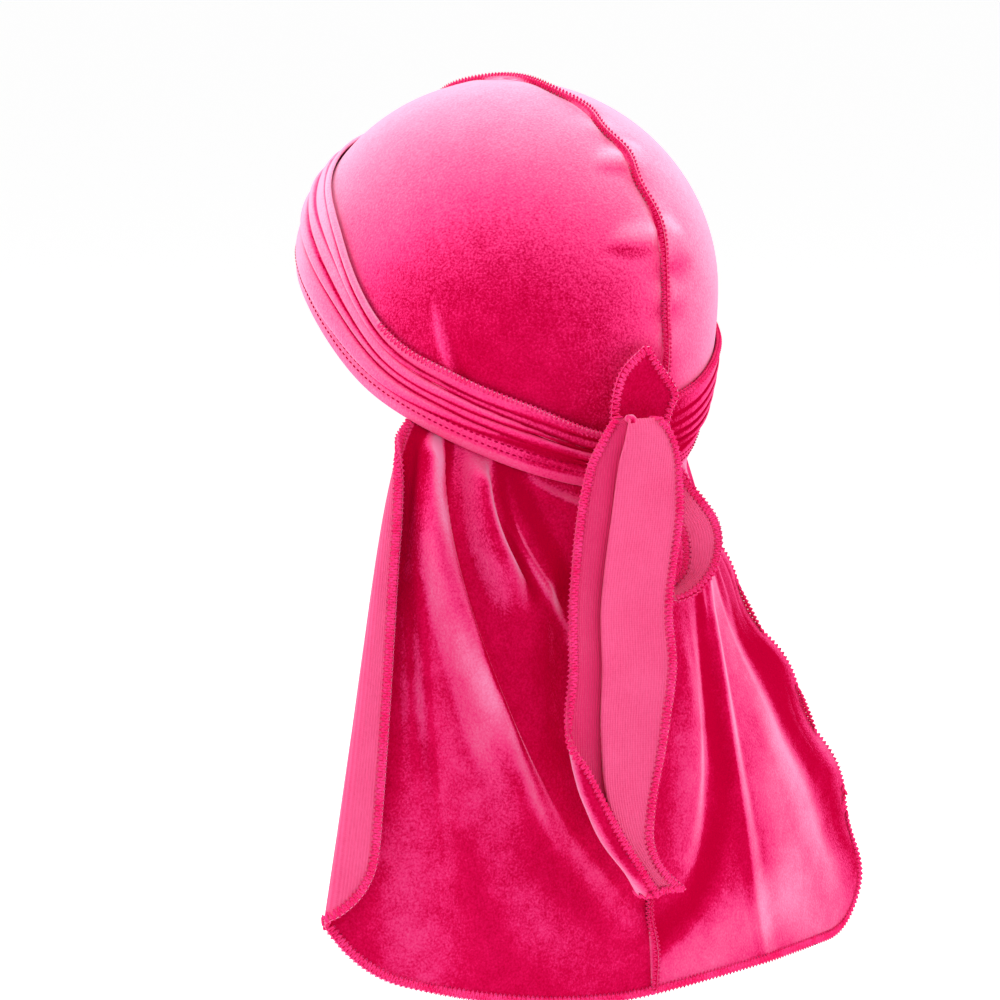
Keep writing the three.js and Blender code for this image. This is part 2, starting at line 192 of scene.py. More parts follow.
def numbered(rows: int, columns: int) -> Array:
    """Vertex numbers of a grid, row by row."""
    return np.arange(rows * columns).reshape(rows, columns)


def grid_faces(index: Array) -> Array:
    """Quads between neighbouring rows and columns of a grid.

    Args:
        index: vertex numbers of the grid.

    Returns:
        Corners of each quad.
    """
    a, b = index[:-1, :-1], index[:-1, 1:]
    c, d = index[1:, 1:], index[1:, :-1]
    return np.stack([a, b, c, d], axis=-1).reshape(-1, 4)


def ring_faces(rings: int, sides: int, turned: bool = False) -> list[Faces]:
    """Faces of a closed pipe: quads between its rings and one face over each end.

    Args:
        rings: how many rings there are.
        sides: corners of each ring.
        turned: turns the faces to the other side.

    Returns:
        Groups of faces.
    """
    index = numbered(rings, sides)
    walls = grid_faces(np.concatenate([index, index[:, :1]], axis=1))
    caps = np.stack([index[0][::-1], index[-1]])
    order = -1 if turned else 1
    return [(walls[:, ::order], 0), (caps[:, ::order], 0)]


@dataclass
class Cloth:
    """Cloth with a wall, given by the points of its outer face.

    Attributes:
        points: outer face, in millimetres.
        quads: its four-cornered faces, seen from outside anticlockwise.
        triangles: its three-cornered faces, turned the same way.
        uv: place of each point on the cloth, in metres.
        wall: thickness.
        nap_and_light: painted sheen above zero and painted shade below zero at each point, partly also the
            lie of the pile.
    """

    points: Array
    quads: Array
    triangles: Array
    uv: Array
    wall: float
    nap_and_light: Array

    def normals(self) -> Array:
        """Outward normal at each point: the mean of its faces' normals, weighted by area.

        Returns:
            One direction for each point.
        """
        total = np.zeros_like(self.points)
        for faces in (self.quads, self.triangles):
            a, b, c, d = (self.points[faces[:, k]] for k in (0, 1, 2, -1))
            normal = np.cross(c - a, d - b)
            for corner in faces.T:
                np.add.at(total, corner, normal)
        return unit(total)

    def border(self) -> tuple[Array, Array]:
        """Directed edges that only one face uses.

        Returns:
            Numbers of their starts and of their ends.
        """
        count = len(self.points)
        both = (self.quads, self.triangles)
        key = np.concatenate([(faces * count + np.roll(faces, -1, axis=1)).ravel() for faces in both])
        back = (key % count) * count + key // count
        free = key[~np.isin(key, back)]
        return free // count, free % count

    def overlock(self, path: Array, inner: Array, stitch: Overlock) -> Mesh:
        """Thread over one edge of the cloth.

        Args:
            path: numbers of the points along the edge.
            inner: numbers of the points beside them in the cloth.
            stitch: the kind of thread.

        Returns:
            Points and faces.
        """
        inward = unit(self.points[inner] - self.points[path])
        return stitch.thread(self.points[path], inward, self.normals()[path], self.wall)

    def piece(self, name: str, materials: Sequence[Material]) -> Piece:
        """Makes the closed wall: outer face, inner face one wall further in, and a rounded rim between.

        Args:
            name: the piece's name.
            materials: of the outer face, the inner face and the rim.

        Returns:
            The new object.
        """
        count = len(self.points)
        normal = self.normals()
        inner = self.points - self.wall * normal
        start, end = self.border()
        rim = np.unique(np.concatenate([start, end]))
        number = np.full(count, -1)
        number[rim] = 2 * count + np.arange(len(rim))
        outward = np.zeros_like(self.points)
        step = np.cross(self.points[end] - self.points[start], normal[start])
        np.add.at(outward, start, step)
        np.add.at(outward, end, step)
        middle = 0.5 * (self.points + inner)[rim] + RIM * self.wall * unit(outward[rim])
        groups: list[Faces] = []
        for faces in (self.quads, self.triangles):
            groups += [(faces, 0), (faces[:, ::-1] + count, 1)]
        groups.append((np.stack([start, number[start], number[end], end], axis=1), 2))
        groups.append((np.stack([number[start], start + count, end + count, number[end]], axis=1), 2))
        points = np.vstack([self.points, inner, middle])
        uv = np.vstack([self.uv, self.uv, self.uv[rim]])
        nap_and_light = np.concatenate([self.nap_and_light, 0 * self.nap_and_light, self.nap_and_light[rim]])
        return mesh_object(name, points, groups, uv, materials, nap_and_light)


def cloth_from_grid(
    points: Array, uv: Array, wall: float, nap_and_light: Array | None = None, flip: bool = False
) -> Cloth:
    """Cloth from a grid of points.

    Args:
        points: rows by columns by three.
        uv: rows by columns by two.
        wall: thickness.
        nap_and_light: rows by columns, painted sheen above zero and painted shade below zero, partly the lie
            of the pile.
        flip: turns the face to the other side.

    Returns:
        The cloth.
    """
    quads = grid_faces(numbered(*points.shape[:2]))[:, :: -1 if flip else 1]
    none = np.zeros((0, 3), int)
    pile = np.zeros(points.size // 3) if nap_and_light is None else nap_and_light.ravel()
    return Cloth(points.reshape(-1, 3), quads, none, uv.reshape(-1, 2), wall, pile)


def tube(path: Array, across: Array, radius: float, sides: int) -> Mesh:
    """Round thread carried along a path, with its two ends closed.

    Each ring is a circle in the plane of the path's normal and binormal; across, which the path
    crosses at most places, fixes how the rings are turned.

    Args:
        path: points of the middle line.
        across: one direction for each point, not along the path.
        radius: of the thread.
        sides: corners of each ring.

    Returns:
        Points and groups of faces.
    """
    ahead = unit(np.gradient(path, axis=0))
    first = unit(np.cross(ahead, across))
    second = np.cross(ahead, first)
    turn = np.arange(sides) * (2 * np.pi / sides)
    ring = np.cos(turn)[None, :, None] * first[:, None] + np.sin(turn)[None, :, None] * second[:, None]
    points = path[:, None] + radius * ring
    return points.reshape(-1, 3), ring_faces(len(path), sides)


def joined(parts: Sequence[Mesh]) -> Mesh:
    """Several meshes as one, the numbers of their corners moved along.

    Args:
        parts: points and faces of each.

    Returns:
        Points and faces of all.
    """
    points, groups, count = [], [], 0
    for own, faces in parts:
        points.append(own)
        groups.extend((corner + count, number) for corner, number in faces)
        count += len(own)
    return np.vstack(points), groups


# Shaders


@dataclass
class Signal:
    """A shader value that takes part in Python arithmetic, each step adding a Math node."""

    graph: Graph
    socket: bpy.types.NodeSocket

    def _math(self, operation: str, first: Any, second: Any = 0.0) -> Signal:
        """Math node of one operation on two values."""
        settings = {"operation": operation}
        return self.graph.node("ShaderNodeMath", settings, {0: first, 1: second})

    def __add__(self, other: Any) -> Signal:
        """Sum."""
        return self._math("ADD", self, other)

    __radd__ = __add__

    def __sub__(self, other: Any) -> Signal:
        """Difference."""
        return self._math("SUBTRACT", self, other)

    def __rsub__(self, other: Any) -> Signal:
        """Difference the other way round."""
        return self._math("SUBTRACT", other, self)

    def __mul__(self, other: Any) -> Signal:
        """Product."""
        return self._math("MULTIPLY", self, other)

    __rmul__ = __mul__

    def __truediv__(self, other: Any) -> Signal:
        """Quotient."""
        return self._math("DIVIDE", self, other)

    def __rtruediv__(self, other: Any) -> Signal:
        """Quotient the other way round."""
        return self._math("DIVIDE", other, self)

    def __pow__(self, other: Any) -> Signal:
        """Power."""
        return self._math("POWER", self, other)

    def __rpow__(self, other: Any) -> Signal:
        """Power the other way round."""
        return self._math("POWER", other, self)

    def sine(self) -> Signal:
        """Sine of the value in radians."""
        return self._math("SINE", self)

    def held(self, low: float, high: float) -> Signal:
        """Value kept between two limits."""
        return self.graph.node("ShaderNodeClamp", None, {0: self, 1: low, 2: high})

    def spread(self, low: float, high: float) -> Signal:
        """Value brought from low..high to 0..1 and held there."""
        settings = {"interpolation_type": "SMOOTHSTEP"}
        return self.graph.node("ShaderNodeMapRange", settings, {0: self, 1: low, 2: high})


class Graph:
    """A material's node tree under construction."""

    def __init__(self, name: str) -> None:
        """Starts an empty material.

        Args:
            name: of the material.
        """
        self.material = bpy.data.materials.new(name)
        self.material.use_nodes = True
        self.tree = self.material.node_tree
        self.tree.nodes.clear()

    def node(
        self,
        kind: str,
        settings: Mapping[str, Any] | None = None,
        inputs: Mapping[int | str, Any] | None = None,
        output: int | str = 0,
    ) -> Signal:
        """Adds one node.

        Args:
            kind: the node's type.
            settings: its own settings, set first.
            inputs: values or links of its sockets, by name or number.
            output: the socket to read.

        Returns:
            The chosen output.
        """
        made = self.tree.nodes.new(kind)
        for key, value in (settings or {}).items():
            setattr(made, key, value)
        for key, value in (inputs or {}).items():
            if isinstance(value, Signal):
                self.tree.links.new(value.socket, made.inputs[key])
            else:
                made.inputs[key].default_value = value
        return Signal(self, made.outputs[output]) if len(made.outputs) else Signal(self, None)

    def place(self) -> Signal:
        """Object coordinates, in metres."""
        return self.node("ShaderNodeTexCoord", output="Object")

    def cloth_place(self) -> tuple[Signal, Signal]:
        """Place on the cloth.

        Returns:
            The coordinates across and down the cloth, in metres.
        """
        uv = self.node("ShaderNodeUVMap", {"uv_map": "cloth"})
        across = self.node("ShaderNodeSeparateXYZ", None, {0: uv})
        down = self.node("ShaderNodeSeparateXYZ", None, {0: uv}, "Y")
        return across, down

    def nap_and_light(self) -> Signal:
        """Painted sheen above zero and painted shade below zero, partly the lie of the pile, as the piece
        carries it.
        """
        return self.node("ShaderNodeAttribute", {"attribute_name": "nap_and_light"}, None, "Fac")

    def noise(self, place: Signal, scale: float, detail: float) -> Signal:
        """Soft noise between 0 and 1 with that many cells in a metre."""
        inputs = {"Vector": place, "Scale": scale, "Detail": detail, "Roughness": 0.6}
        return self.node("ShaderNodeTexNoise", None, inputs)

    def mix(self, factor: Signal, first: Any, second: Any) -> Signal:
        """Mix of two colours."""
        return self.node("ShaderNodeMix", {"data_type": "RGBA"}, {0: factor, 6: first, 7: second}, 2)

    def bump(self, height: Signal, depth: float) -> Signal:
        """Normal bent by a height of that depth in metres."""
        inputs = {"Height": height, "Distance": depth, "Strength": 1.0}
        return self.node("ShaderNodeBump", None, inputs)

    def shader(self, inputs: Mapping[str, Any]) -> Signal:
        """Surface shader that has those inputs."""
        return self.node("ShaderNodeBsdfPrincipled", None, inputs)

    def surface(self, shader: Signal) -> Material:
        """Ends the tree with that shader."""
        self.node("ShaderNodeOutputMaterial", None, {"Surface": shader})
        return self.material


@dataclass(frozen=True)
class VelvetFinish:
    """Short crushed pile: deep where it points at the eye, vivid and then pale where it is seen aslant.

    Attributes:
        deep, bright: colours of the lying pile, from its roots to its raised patches, which are partly
            random and partly painted sheen; painted shade takes it towards deep.
        vivid, vivid_tail: pile seen a little aslant on the crown and on the tail.
        low, high: pale tips below and above; the paler tips above are painted light from overhead.
        nap, nap_tail: how far the pile leans out of the cloth's normal on the crown and on the tail.
        onset, onset_tail: how far aslant the pile has to be seen there before its tips show.
        crown_from, high_from: levels between which the tail's pile turns into the crown's, and the low
        tips into the high ones, in metres; the second paints the top paler, as painted light from above.
        patches: crushed patches, ruffled spots and tufts, each by its number in a metre and its detail.
        depth: of the tufts, in metres.
    """

    name: str = "velvet"
    deep: Colour = (0.44, 0.0, 0.028, 1.0)
    bright: Colour = (0.74, 0.005, 0.095, 1.0)
    vivid: Colour = (0.9, 0.02, 0.18, 1.0)
    vivid_tail: Colour = (0.77, 0.018, 0.155, 1.0)
    low: Colour = (0.84, 0.28, 0.48, 1.0)
    high: Colour = (0.94, 0.48, 0.68, 1.0)
    nap: Triple = (-0.3, 0.25, 1.0)
    nap_tail: Triple = (0.36, -0.3, 0.1)
    onset: float = 0.3
    onset_tail: float = 0.15
    crown_from: Pair = (-0.11, -0.05)
    high_from: Pair = (-0.06, 0.07)
    patches: tuple[Pair, Pair, Pair] = ((26.0, 3.0), (120.0, 3.0), (1100.0, 2.0))
    depth: float = 0.00015

    def layer(self, graph: Graph, colour: Any, roughness: Any, normal: Signal) -> Signal:
        """Pile of one colour, without gloss."""
        inputs = {"Base Color": colour, "Roughness": roughness, "Specular IOR Level": 0.0, "Normal": normal}
        return graph.shader(inputs)

    def material(self) -> Material:
        """Builds the material.

        Returns:
            The material.
        """
        graph = Graph(self.name)
        place = graph.place()
        height = graph.node("ShaderNodeSeparateXYZ", None, {0: place}, "Z")
        crushed, ruffled, pile = (graph.noise(place, cells, detail) for cells, detail in self.patches)
        nap_light = graph.nap_and_light()
        # Colour of the lying pile: random crushed patches, spots and tufts, plus painted sheen and painted
        # shade from the nap_and_light attribute.
        tone = crushed * 0.35 + ruffled * 0.25 + pile * 0.6 + nap_light * 0.5
        colour = graph.mix(tone.spread(0.35, 0.95), self.deep, self.bright)
        crown = height.spread(*self.crown_from)
        raised = graph.bump(pile + ruffled * 0.4, self.depth)
        leans = {0: crown, 4: self.nap_tail, 5: self.nap}
        lean = graph.node("ShaderNodeMix", {"data_type": "VECTOR"}, leans, 1)
        leant = graph.node("ShaderNodeVectorMath", {"operation": "ADD"}, {0: raised, 1: lean})
        normal = graph.node("ShaderNodeVectorMath", {"operation": "NORMALIZE"}, {0: leant})
        aslant = graph.node("ShaderNodeLayerWeight", None, {"Blend": 0.5, "Normal": normal}, "Facing")
        onset = crown * (self.onset - self.onset_tail) + self.onset_tail
        mottled = (ruffled * 0.2 + crushed * 0.3 - 0.25) * (1.0 - crown * 0.65)
        # The attribute's painted sheen and painted shade also move where the pale tips show.
        beyond = aslant - onset + nap_light + mottled + (pile * 0.34 - 0.17)
        lying = self.layer(graph, colour, pile * 0.2 + 0.6, raised)
        leaning = self.layer(graph, graph.mix(crown, self.vivid_tail, self.vivid), 0.8, raised)
        # Painted light from above: the tips are paler higher up.
        pale = graph.mix(height.spread(*self.high_from), self.low, self.high)
        tips = self.layer(graph, pale, 0.9, raised)
        first = ((beyond + 0.05) / 0.16).held(0.0, 1.0)
        second = (beyond / 0.6).held(0.0, 1.0) ** 1.6
        nearly = graph.node("ShaderNodeMixShader", None, {0: first, 1: lying, 2: leaning})
        return graph.surface(graph.node("ShaderNodeMixShader", None, {0: second, 1: nearly, 2: tips}))


# Velvet of the straps, cut with the pile pointing at the eye where they are tied.
STRAP_VELVET = VelvetFinish(name="velvet_strap", nap=(0.25, -0.2, 0.1), onset=0.2)


@dataclass(frozen=True)
class KnitBackFinish:
    """Matte wrong side of the velvet: fine knitted ribs along the cloth.

    Attributes:
        light, dark: colours of its ribs and hollows.
        rib, depth: width and depth of a rib, in metres.
        fuzz, cloud: fine and wide patches in a metre.
    """

    light: Colour = (0.9, 0.1, 0.27, 1.0)
    dark: Colour = (0.7, 0.015, 0.12, 1.0)
    rib: float = 0.0011
    depth: float = 0.0003
    fuzz: float = 900.0
    cloud: float = 40.0

    def material(self) -> Material:
        """Builds the material.

        Returns:
            The material.
        """
        graph = Graph("velvet_back")
        place = graph.place()
        across, down = graph.cloth_place()
        ribs = (across * (2 * math.pi / self.rib)).sine() * 0.5 + 0.5
        loops = (down * (2 * math.pi / (0.8 * self.rib))).sine() * 0.5 + 0.5
        fuzz = graph.noise(place, self.fuzz, 2.0)
        cloud = graph.noise(place, self.cloud, 3.0)
        # The nap_and_light attribute adds painted shade here, where the long tie end's lower layer lies
        # under its pleat.
        tone = ribs * 0.2 + loops * 0.1 + fuzz * 0.4 + cloud * 0.4 + graph.nap_and_light()
        shader = graph.shader(
            {
                "Base Color": graph.mix(tone.spread(-0.1, 0.9), self.dark, self.light),
                "Roughness": fuzz * 0.15 + 0.75,
                "Specular IOR Level": 0.15,
                "Sheen Weight": 0.35,
                "Sheen Roughness": 0.5,
                "Sheen Tint": (1.0, 0.6, 0.75, 1.0),
                "Normal": graph.bump(ribs * 0.6 + fuzz * 0.5, self.depth),
            }
        )
        return graph.surface(shader)


@dataclass(frozen=True)
class ThreadFinish:
    """Soft bulky sewing thread.

    Attributes:
        light, dark: its colours.
        twist, fade: fine and wide patches in a metre.
        depth: of its strands, in metres.
    """

    name: str = "seam_thread"
    light: Colour = (0.95, 0.06, 0.27, 1.0)
    dark: Colour = (0.8, 0.0, 0.09, 1.0)
    twist: float = 1600.0
    fade: float = 90.0
    depth: float = 0.0002

    def material(self) -> Material:
        """Builds the material.

        Returns:
            The material.
        """
        graph = Graph(self.name)
        place = graph.place()
        twist = graph.noise(place, self.twist, 2.0)
        fade = graph.noise(place, self.fade, 2.0)
        colour = graph.mix((twist * 0.7 + fade * 0.5).spread(0.35, 0.85), self.dark, self.light)
        shader = graph.shader(
            {
                "Base Color": colour,
                "Roughness": twist * 0.2 + 0.65,
                "Specular IOR Level": 0.0,
                "Normal": graph.bump(twist, self.depth),
            }
        )
        return graph.surface(shader)


# Thread of the two stitch rows, pressed into the band.
DEEP_THREAD = ThreadFinish("seam_thread_deep", (0.62, 0.0, 0.07, 1.0), (0.36, 0.0, 0.03, 1.0))


@dataclass(frozen=True)
class FloorFinish:
    """Plain pale studio floor."""

    colour: Colour = (0.93, 0.93, 0.93, 1.0)
    glow: float = 0.52

    def material(self) -> Material:
        """Builds the material.

        Returns:
            The material.
        """
        graph = Graph("floor")
        shader = graph.shader(
            {
                "Base Color": self.colour,
                "Roughness": 0.9,
                "Specular IOR Level": 0.1,
                "Emission Color": (1.0, 1.0, 1.0, 1.0),
                "Emission Strength": self.glow,
            }
        )
        return graph.surface(shader)


@dataclass
class Wardrobe:
    """The durag's materials, made once."""

    velvet: Material = field(default_factory=lambda: VelvetFinish().material())
    strap: Material = field(default_factory=lambda: STRAP_VELVET.material())
    back: Material = field(default_factory=lambda: KnitBackFinish().material())
    thread: Material = field(default_factory=lambda: ThreadFinish().material())
    deep_thread: Material = field(default_factory=lambda: DEEP_THREAD.material())

    def right_side_out(self) -> list[Material]:
        """Outer face, inner face and rim of cloth worn with the pile outside."""
        return [self.velvet, self.back, self.velvet]

    def strap_out(self) -> list[Material]:
        """Outer face, inner face and rim of a strap with the pile outside."""
        return [self.strap, self.back, self.strap]

    def wrong_side_out(self) -> list[Material]:
        """Outer face, inner face and rim of cloth that shows its wrong side."""
        return [self.back, self.strap, self.back]


def enrol(piece: Piece, node: str | None = None) -> Piece:
    """Lets a piece ride on the part, hiding the solid that it stands for.

    Args:
        piece: the new piece.
        node: the solid that it stands for, if any.

    Returns:
        The piece.
    """
    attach(piece, "root")
    if node:
        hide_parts(node)
    LOG.info("%s: %d faces", piece.name, len(piece.data.polygons))
    return piece


# Sewing


@dataclass(frozen=True)
class Overlock:
    """Thread that overcasts a raw edge: one zigzag on each face, both turning round the edge.

    Attributes:
        pitch: length of edge that one zigzag takes.
        reach: how far it goes in from the edge.
        radius: of the thread.
        beyond: how far it goes out past the edge.
        proud: how far its middle stands off the cloth at the edge and at its reach, in radii.
        sides, fine: corners round the thread, and rings in each half pitch.
    """

    pitch: float = 2.2
    reach: float = 3.0
    radius: float = 0.55
    beyond: float = 0.6
    proud: Pair = (0.1, 0.6)
    sides: int = 6
    fine: int = 4

    def thread(self, edge: Array, inward: Array, normal: Array, wall: float) -> Mesh:
        """Thread along one edge.

        On each face the path goes through two places in each pitch, just beyond the edge and at its reach
        in the cloth, half a pitch further on, and is then smoothed.

        Args:
            edge: points of the outer face along the edge.
            inward: directions in the cloth, away from the edge.
            normal: outward directions of the cloth.
            wall: thickness of the cloth.

        Returns:
            Points and faces.
        """
        lengths = along_line(edge)
        at = np.linspace(0.0, lengths[-1], 2 * max(int(lengths[-1] / self.pitch), 2) + 1)
        e, d, n = (resample(lengths, v, at) for v in (edge, inward, normal))
        ahead, n = unit(np.gradient(e, axis=0)), unit(n)
        d = unit(d - ahead * (d * ahead).sum(-1, keepdims=True))
        far = (np.arange(len(at)) % 2)[:, None]
        steps = np.linspace(0, 1, self.fine * (len(at) - 1) + 1)
        across = resample(np.linspace(0, 1, len(at)), ahead, steps)
        tubes = []
        for face in (1.0, -1.0):
            height = face * (0.5 * wall + self.radius * blend(*self.proud, far)) - 0.5 * wall
            path = through(e + d * blend(-self.beyond, self.reach, far) + n * height, steps)
            tubes.append(tube(path, across, self.radius, self.sides))
        return joined(tubes)


@dataclass(frozen=True)
class StitchRow:
    """Row of single stitches: short threads, thickest in the middle, with gaps between."""

    pitch: float = 2.7
    length: float = 1.7
    radius: float = 0.38
    sides: int = 6
    rings: int = 5

    def thread(self, line: Array, normal: Array) -> Mesh:
        """Stitches along a line.

        Each stitch is an ellipse of turning, its rings' radius following a half circle's.

        Args:
            line: points that the stitches follow.
            normal: outward directions there.

        Returns:
            Points and faces.
        """
        lengths = along_line(line)
        at = np.arange(self.pitch, lengths[-1] - self.pitch, self.pitch)
        middle = resample(lengths, line, at)
        up = unit(resample(lengths, normal, at))
        ahead = unit(resample(lengths, unit(np.gradient(line, axis=0)), at))
        aside = np.cross(up, ahead)
        run = np.cos(np.linspace(np.pi, 0.0, self.rings))
        girth = np.sqrt(np.clip(1 - run**2, 0.02, 1.0))
        turn = np.arange(self.sides) * (2 * np.pi / self.sides)
        ring = np.cos(turn)[:, None] * aside[:, None] + np.sin(turn)[:, None] * up[:, None]
        points = middle[:, None, None] + ring[:, None] * (self.radius * girth)[None, :, None, None]
        points = points + ahead[:, None, None] * (0.5 * self.length * run)[None, :, None, None]
        shift = (np.arange(len(at)) * self.rings * self.sides)[:, None, None]
        one = ring_faces(self.rings, self.sides)
        return points.reshape(-1, 3), [((faces + shift).reshape(-1, faces.shape[1]), 0) for faces, _ in one]


def sewing_piece(name: str, parts: Sequence[Mesh], thread: Material) -> Piece:
    """One piece of thread from several runs of stitches.

    Args:
        name: the piece's name.
        parts: points and faces of each run.
        thread: its material.

    Returns:
        The piece.
    """
    points, groups = joined(parts)
    piece = mesh_object(name, points, groups, points[:, :2] * MM, [thread])
    return enrol(piece)


# The form that the cloth keeps


@dataclass
class HeadForm:
    """The hollow of the crown.

    Attributes:
        half_width, half_length, top: half axes from the widest level.
        arc: length from the widest level to the top, over a right angle.
        low: how slowly the hollow narrows below the widest level.
        wall, gap: cloth thickness and the hairline between pieces.
        edge_level, nape_drop, brow_rise, temple_rise, ear_ease: course of the crown's lower edge.
    """

    half_width: float = 76.5
    half_length: float = 96.5
    top: float = 83.0
    arc: float = 86.0
    low: float = 130.0
    wall: float = 1.4
    gap: float = 0.4
    edge_level: float = -40.0
    nape_drop: float = 37.0
    brow_rise: float = 49.0
    temple_rise: float = 16.0
    ear_ease: float = 0.16

    @property
    def peak(self) -> float:
        """Arc from the widest level to the very top."""
        return self.arc * math.pi / 2

    def point(self, phi: Any, s: Any, lift: Any) -> Array:
        """Points over the head.

        Above the widest level the ring shrinks as the cosine and the height grows as the sine of the
        arc; below it the ring follows a slow ellipse.

        Args:
            phi: degrees round the head, 0 at the left ear and 90 at the nape.
            s: arc above the widest level, below it the height.
            lift: distance off the hollow.

        Returns:
            Points.
        """
        phi, s, lift = np.broadcast_arrays(np.radians(np.asarray(phi, float)), s, lift)
        angle = np.clip(s, 0.0, None) / self.arc
        low = np.sqrt(1 - (np.clip(s, None, 0.0) / self.low) ** 2)
        ring = np.where(s > 0, np.cos(angle), low)
        height = np.where(s > 0, (self.top + lift) * np.sin(angle), s)
        x = (self.half_width + lift) * ring * np.cos(phi)
        y = (self.half_length + lift) * ring * np.sin(phi)
        return np.stack([x, y, height], axis=-1)

    def edge(self, phi: Any) -> Array:
        """Level of the crown's lower edge: a sine round the head that steepens softly before the ears.

        Args:
            phi: degrees round the head.

        Returns:
            Levels.
        """
        back = np.sin(np.radians(np.asarray(phi, float)))
        ahead = 0.5 * (np.hypot(back, self.ear_ease) - back)
        extra = self.brow_rise - self.nape_drop + 2 * self.temple_rise * (1 - back**2)
        return self.edge_level - self.nape_drop * back + ahead * extra


@dataclass(frozen=True)
class Fold:
    """One fold of the tail.

    It runs on the curve from start by way of bend to end, each given as (u, w), where u goes from the
    seam to the side edge and w from nape to hem.

    Attributes:
        start, bend, end: the curve.
        half: half width at the start and at the end.
        rise: height, below zero for a hollow.
        far: how many times wider it is on the side towards the tail's edge.
        lean: sideways shift for each millimetre of height, towards the seam.
        crest: 0 for a soft foot on the side towards the seam, 1 for a rounded drop.
        fade_in, fade_from: the share of the curve by which a fold that starts below the nape has risen,
            and the share from which each fold fades.
        span: millimetres to one of u or w.
        samples: points of the curve.
    """

    start: Pair
    bend: Pair
    end: Pair
    half: Pair
    rise: float
    far: float = 1.0
    lean: float = 0.0
    crest: float = 0.0
    fade_in: float = 0.3
    fade_from: float = 0.6
    span: float = 200.0
    samples: int = 96

    def height(self, u: Array, w: Array) -> Array:
        """Height of the fold: its profile over the distance to the curve, faded at the end.

        Args:
            u, w: places across and down the tail.

        Returns:
            Height at each place.
        """
        t = np.linspace(0, 1, self.samples)[:, None]
        rows = [np.asarray(p) for p in (self.start, self.bend, self.end)]
        curve = (1 - t) ** 2 * rows[0] + 2 * t * (1 - t) * rows[1] + t**2 * rows[2]
        heading = unit(np.gradient(curve, axis=0))
        nearest = np.argmin((u[..., None] - curve[:, 0]) ** 2 + (w[..., None] - curve[:, 1]) ** 2, axis=-1)
        off_u, off_w = u - curve[nearest, 0], w - curve[nearest, 1]
        ahead = off_u * heading[nearest, 0] + off_w * heading[nearest, 1]
        edgeward = off_u * heading[nearest, 1] - off_w * heading[nearest, 0]
        beyond = np.maximum(np.abs(ahead) - 1.5 / self.samples, 0.0)
        at = np.clip(nearest / (self.samples - 1), 0.0, 1.0)
        half = blend(self.half[0], self.half[1], at) * np.where(edgeward > 0, self.far, 1.0)
        x = np.clip(np.hypot(edgeward, beyond) * self.span / half, 0.0, 1.0)
        soft = (1 - x * x) ** 2
        shape = np.where(edgeward > 0, soft, blend(soft, (1 - x * x) ** 0.6, self.crest))
        fade = 1 - smooth(at, self.fade_from, 1.0)
        if self.start[1] > 0:
            fade = fade * smooth(at, 0.0, self.fade_in)
        return self.rise * shape * fade


LEFT_FOLDS = (
    Fold((0.86, 0.0), (0.8, 0.3), (0.62, 0.82), (12, 20), 3, 0.4),
    Fold((0.88, 0.08), (0.85, 0.35), (0.78, 0.7), (6, 11), -3),
    Fold((0.84, 0.0), (0.74, 0.36), (0.27, 0.76), (9, 15), 9, 1.2, 0.35, 1.0),
    Fold((0.68, 0.0), (0.64, 0.18), (0.42, 0.28), (7, 10), 8, 1.6, 0.4, 1.0),
    Fold((0.6, 0.06), (0.47, 0.19), (0.12, 0.36), (4, 6), 3, 1.2, 0.2, 0.3),
    Fold((0.52, 0.0), (0.38, 0.05), (0.1, 0.045), (3.5, 5), 3.5, 1.0, 0.0, 0.3),
    Fold((0.3, 0.1), (0.34, 0.34), (0.18, 0.62), (16, 26), -7),
    Fold((0.78, 0.5), (0.72, 0.8), (0.55, 1.1), (22, 30), 3.5),
)
RIGHT_FOLDS = (
    Fold((0.5, 0.18), (0.35, 0.5), (0.42, 1.12), (5, 8), 2, 2.0, -0.3, 0.6),
    Fold((0.33, 0.2), (0.44, 0.62), (0.03, 0.95), (14, 20), -2.5),
    Fold((0.18, 0.22), (0.3, 0.62), (0.02, 0.86), (14, 20), 2),
    Fold((0.62, 0.2), (0.78, 0.58), (0.92, 1.05), (15, 20), -1.5),
    Fold((0.42, 0.0), (0.46, 0.12), (0.5, 0.32), (8, 12), 2.5, 1.0, 0.2),
    Fold((0.68, 0.0), (0.68, 0.2), (0.7, 0.45), (10, 14), 1.5),
)
# How far the right side edge stands out, at every tenth of the way from nape to hem.
EDGE_SWING = (-6.5, -5.5, -5.0, -5.0, -3.0, 0.5, 2.0, 2.2, 0.0, -3.5, -6.0)
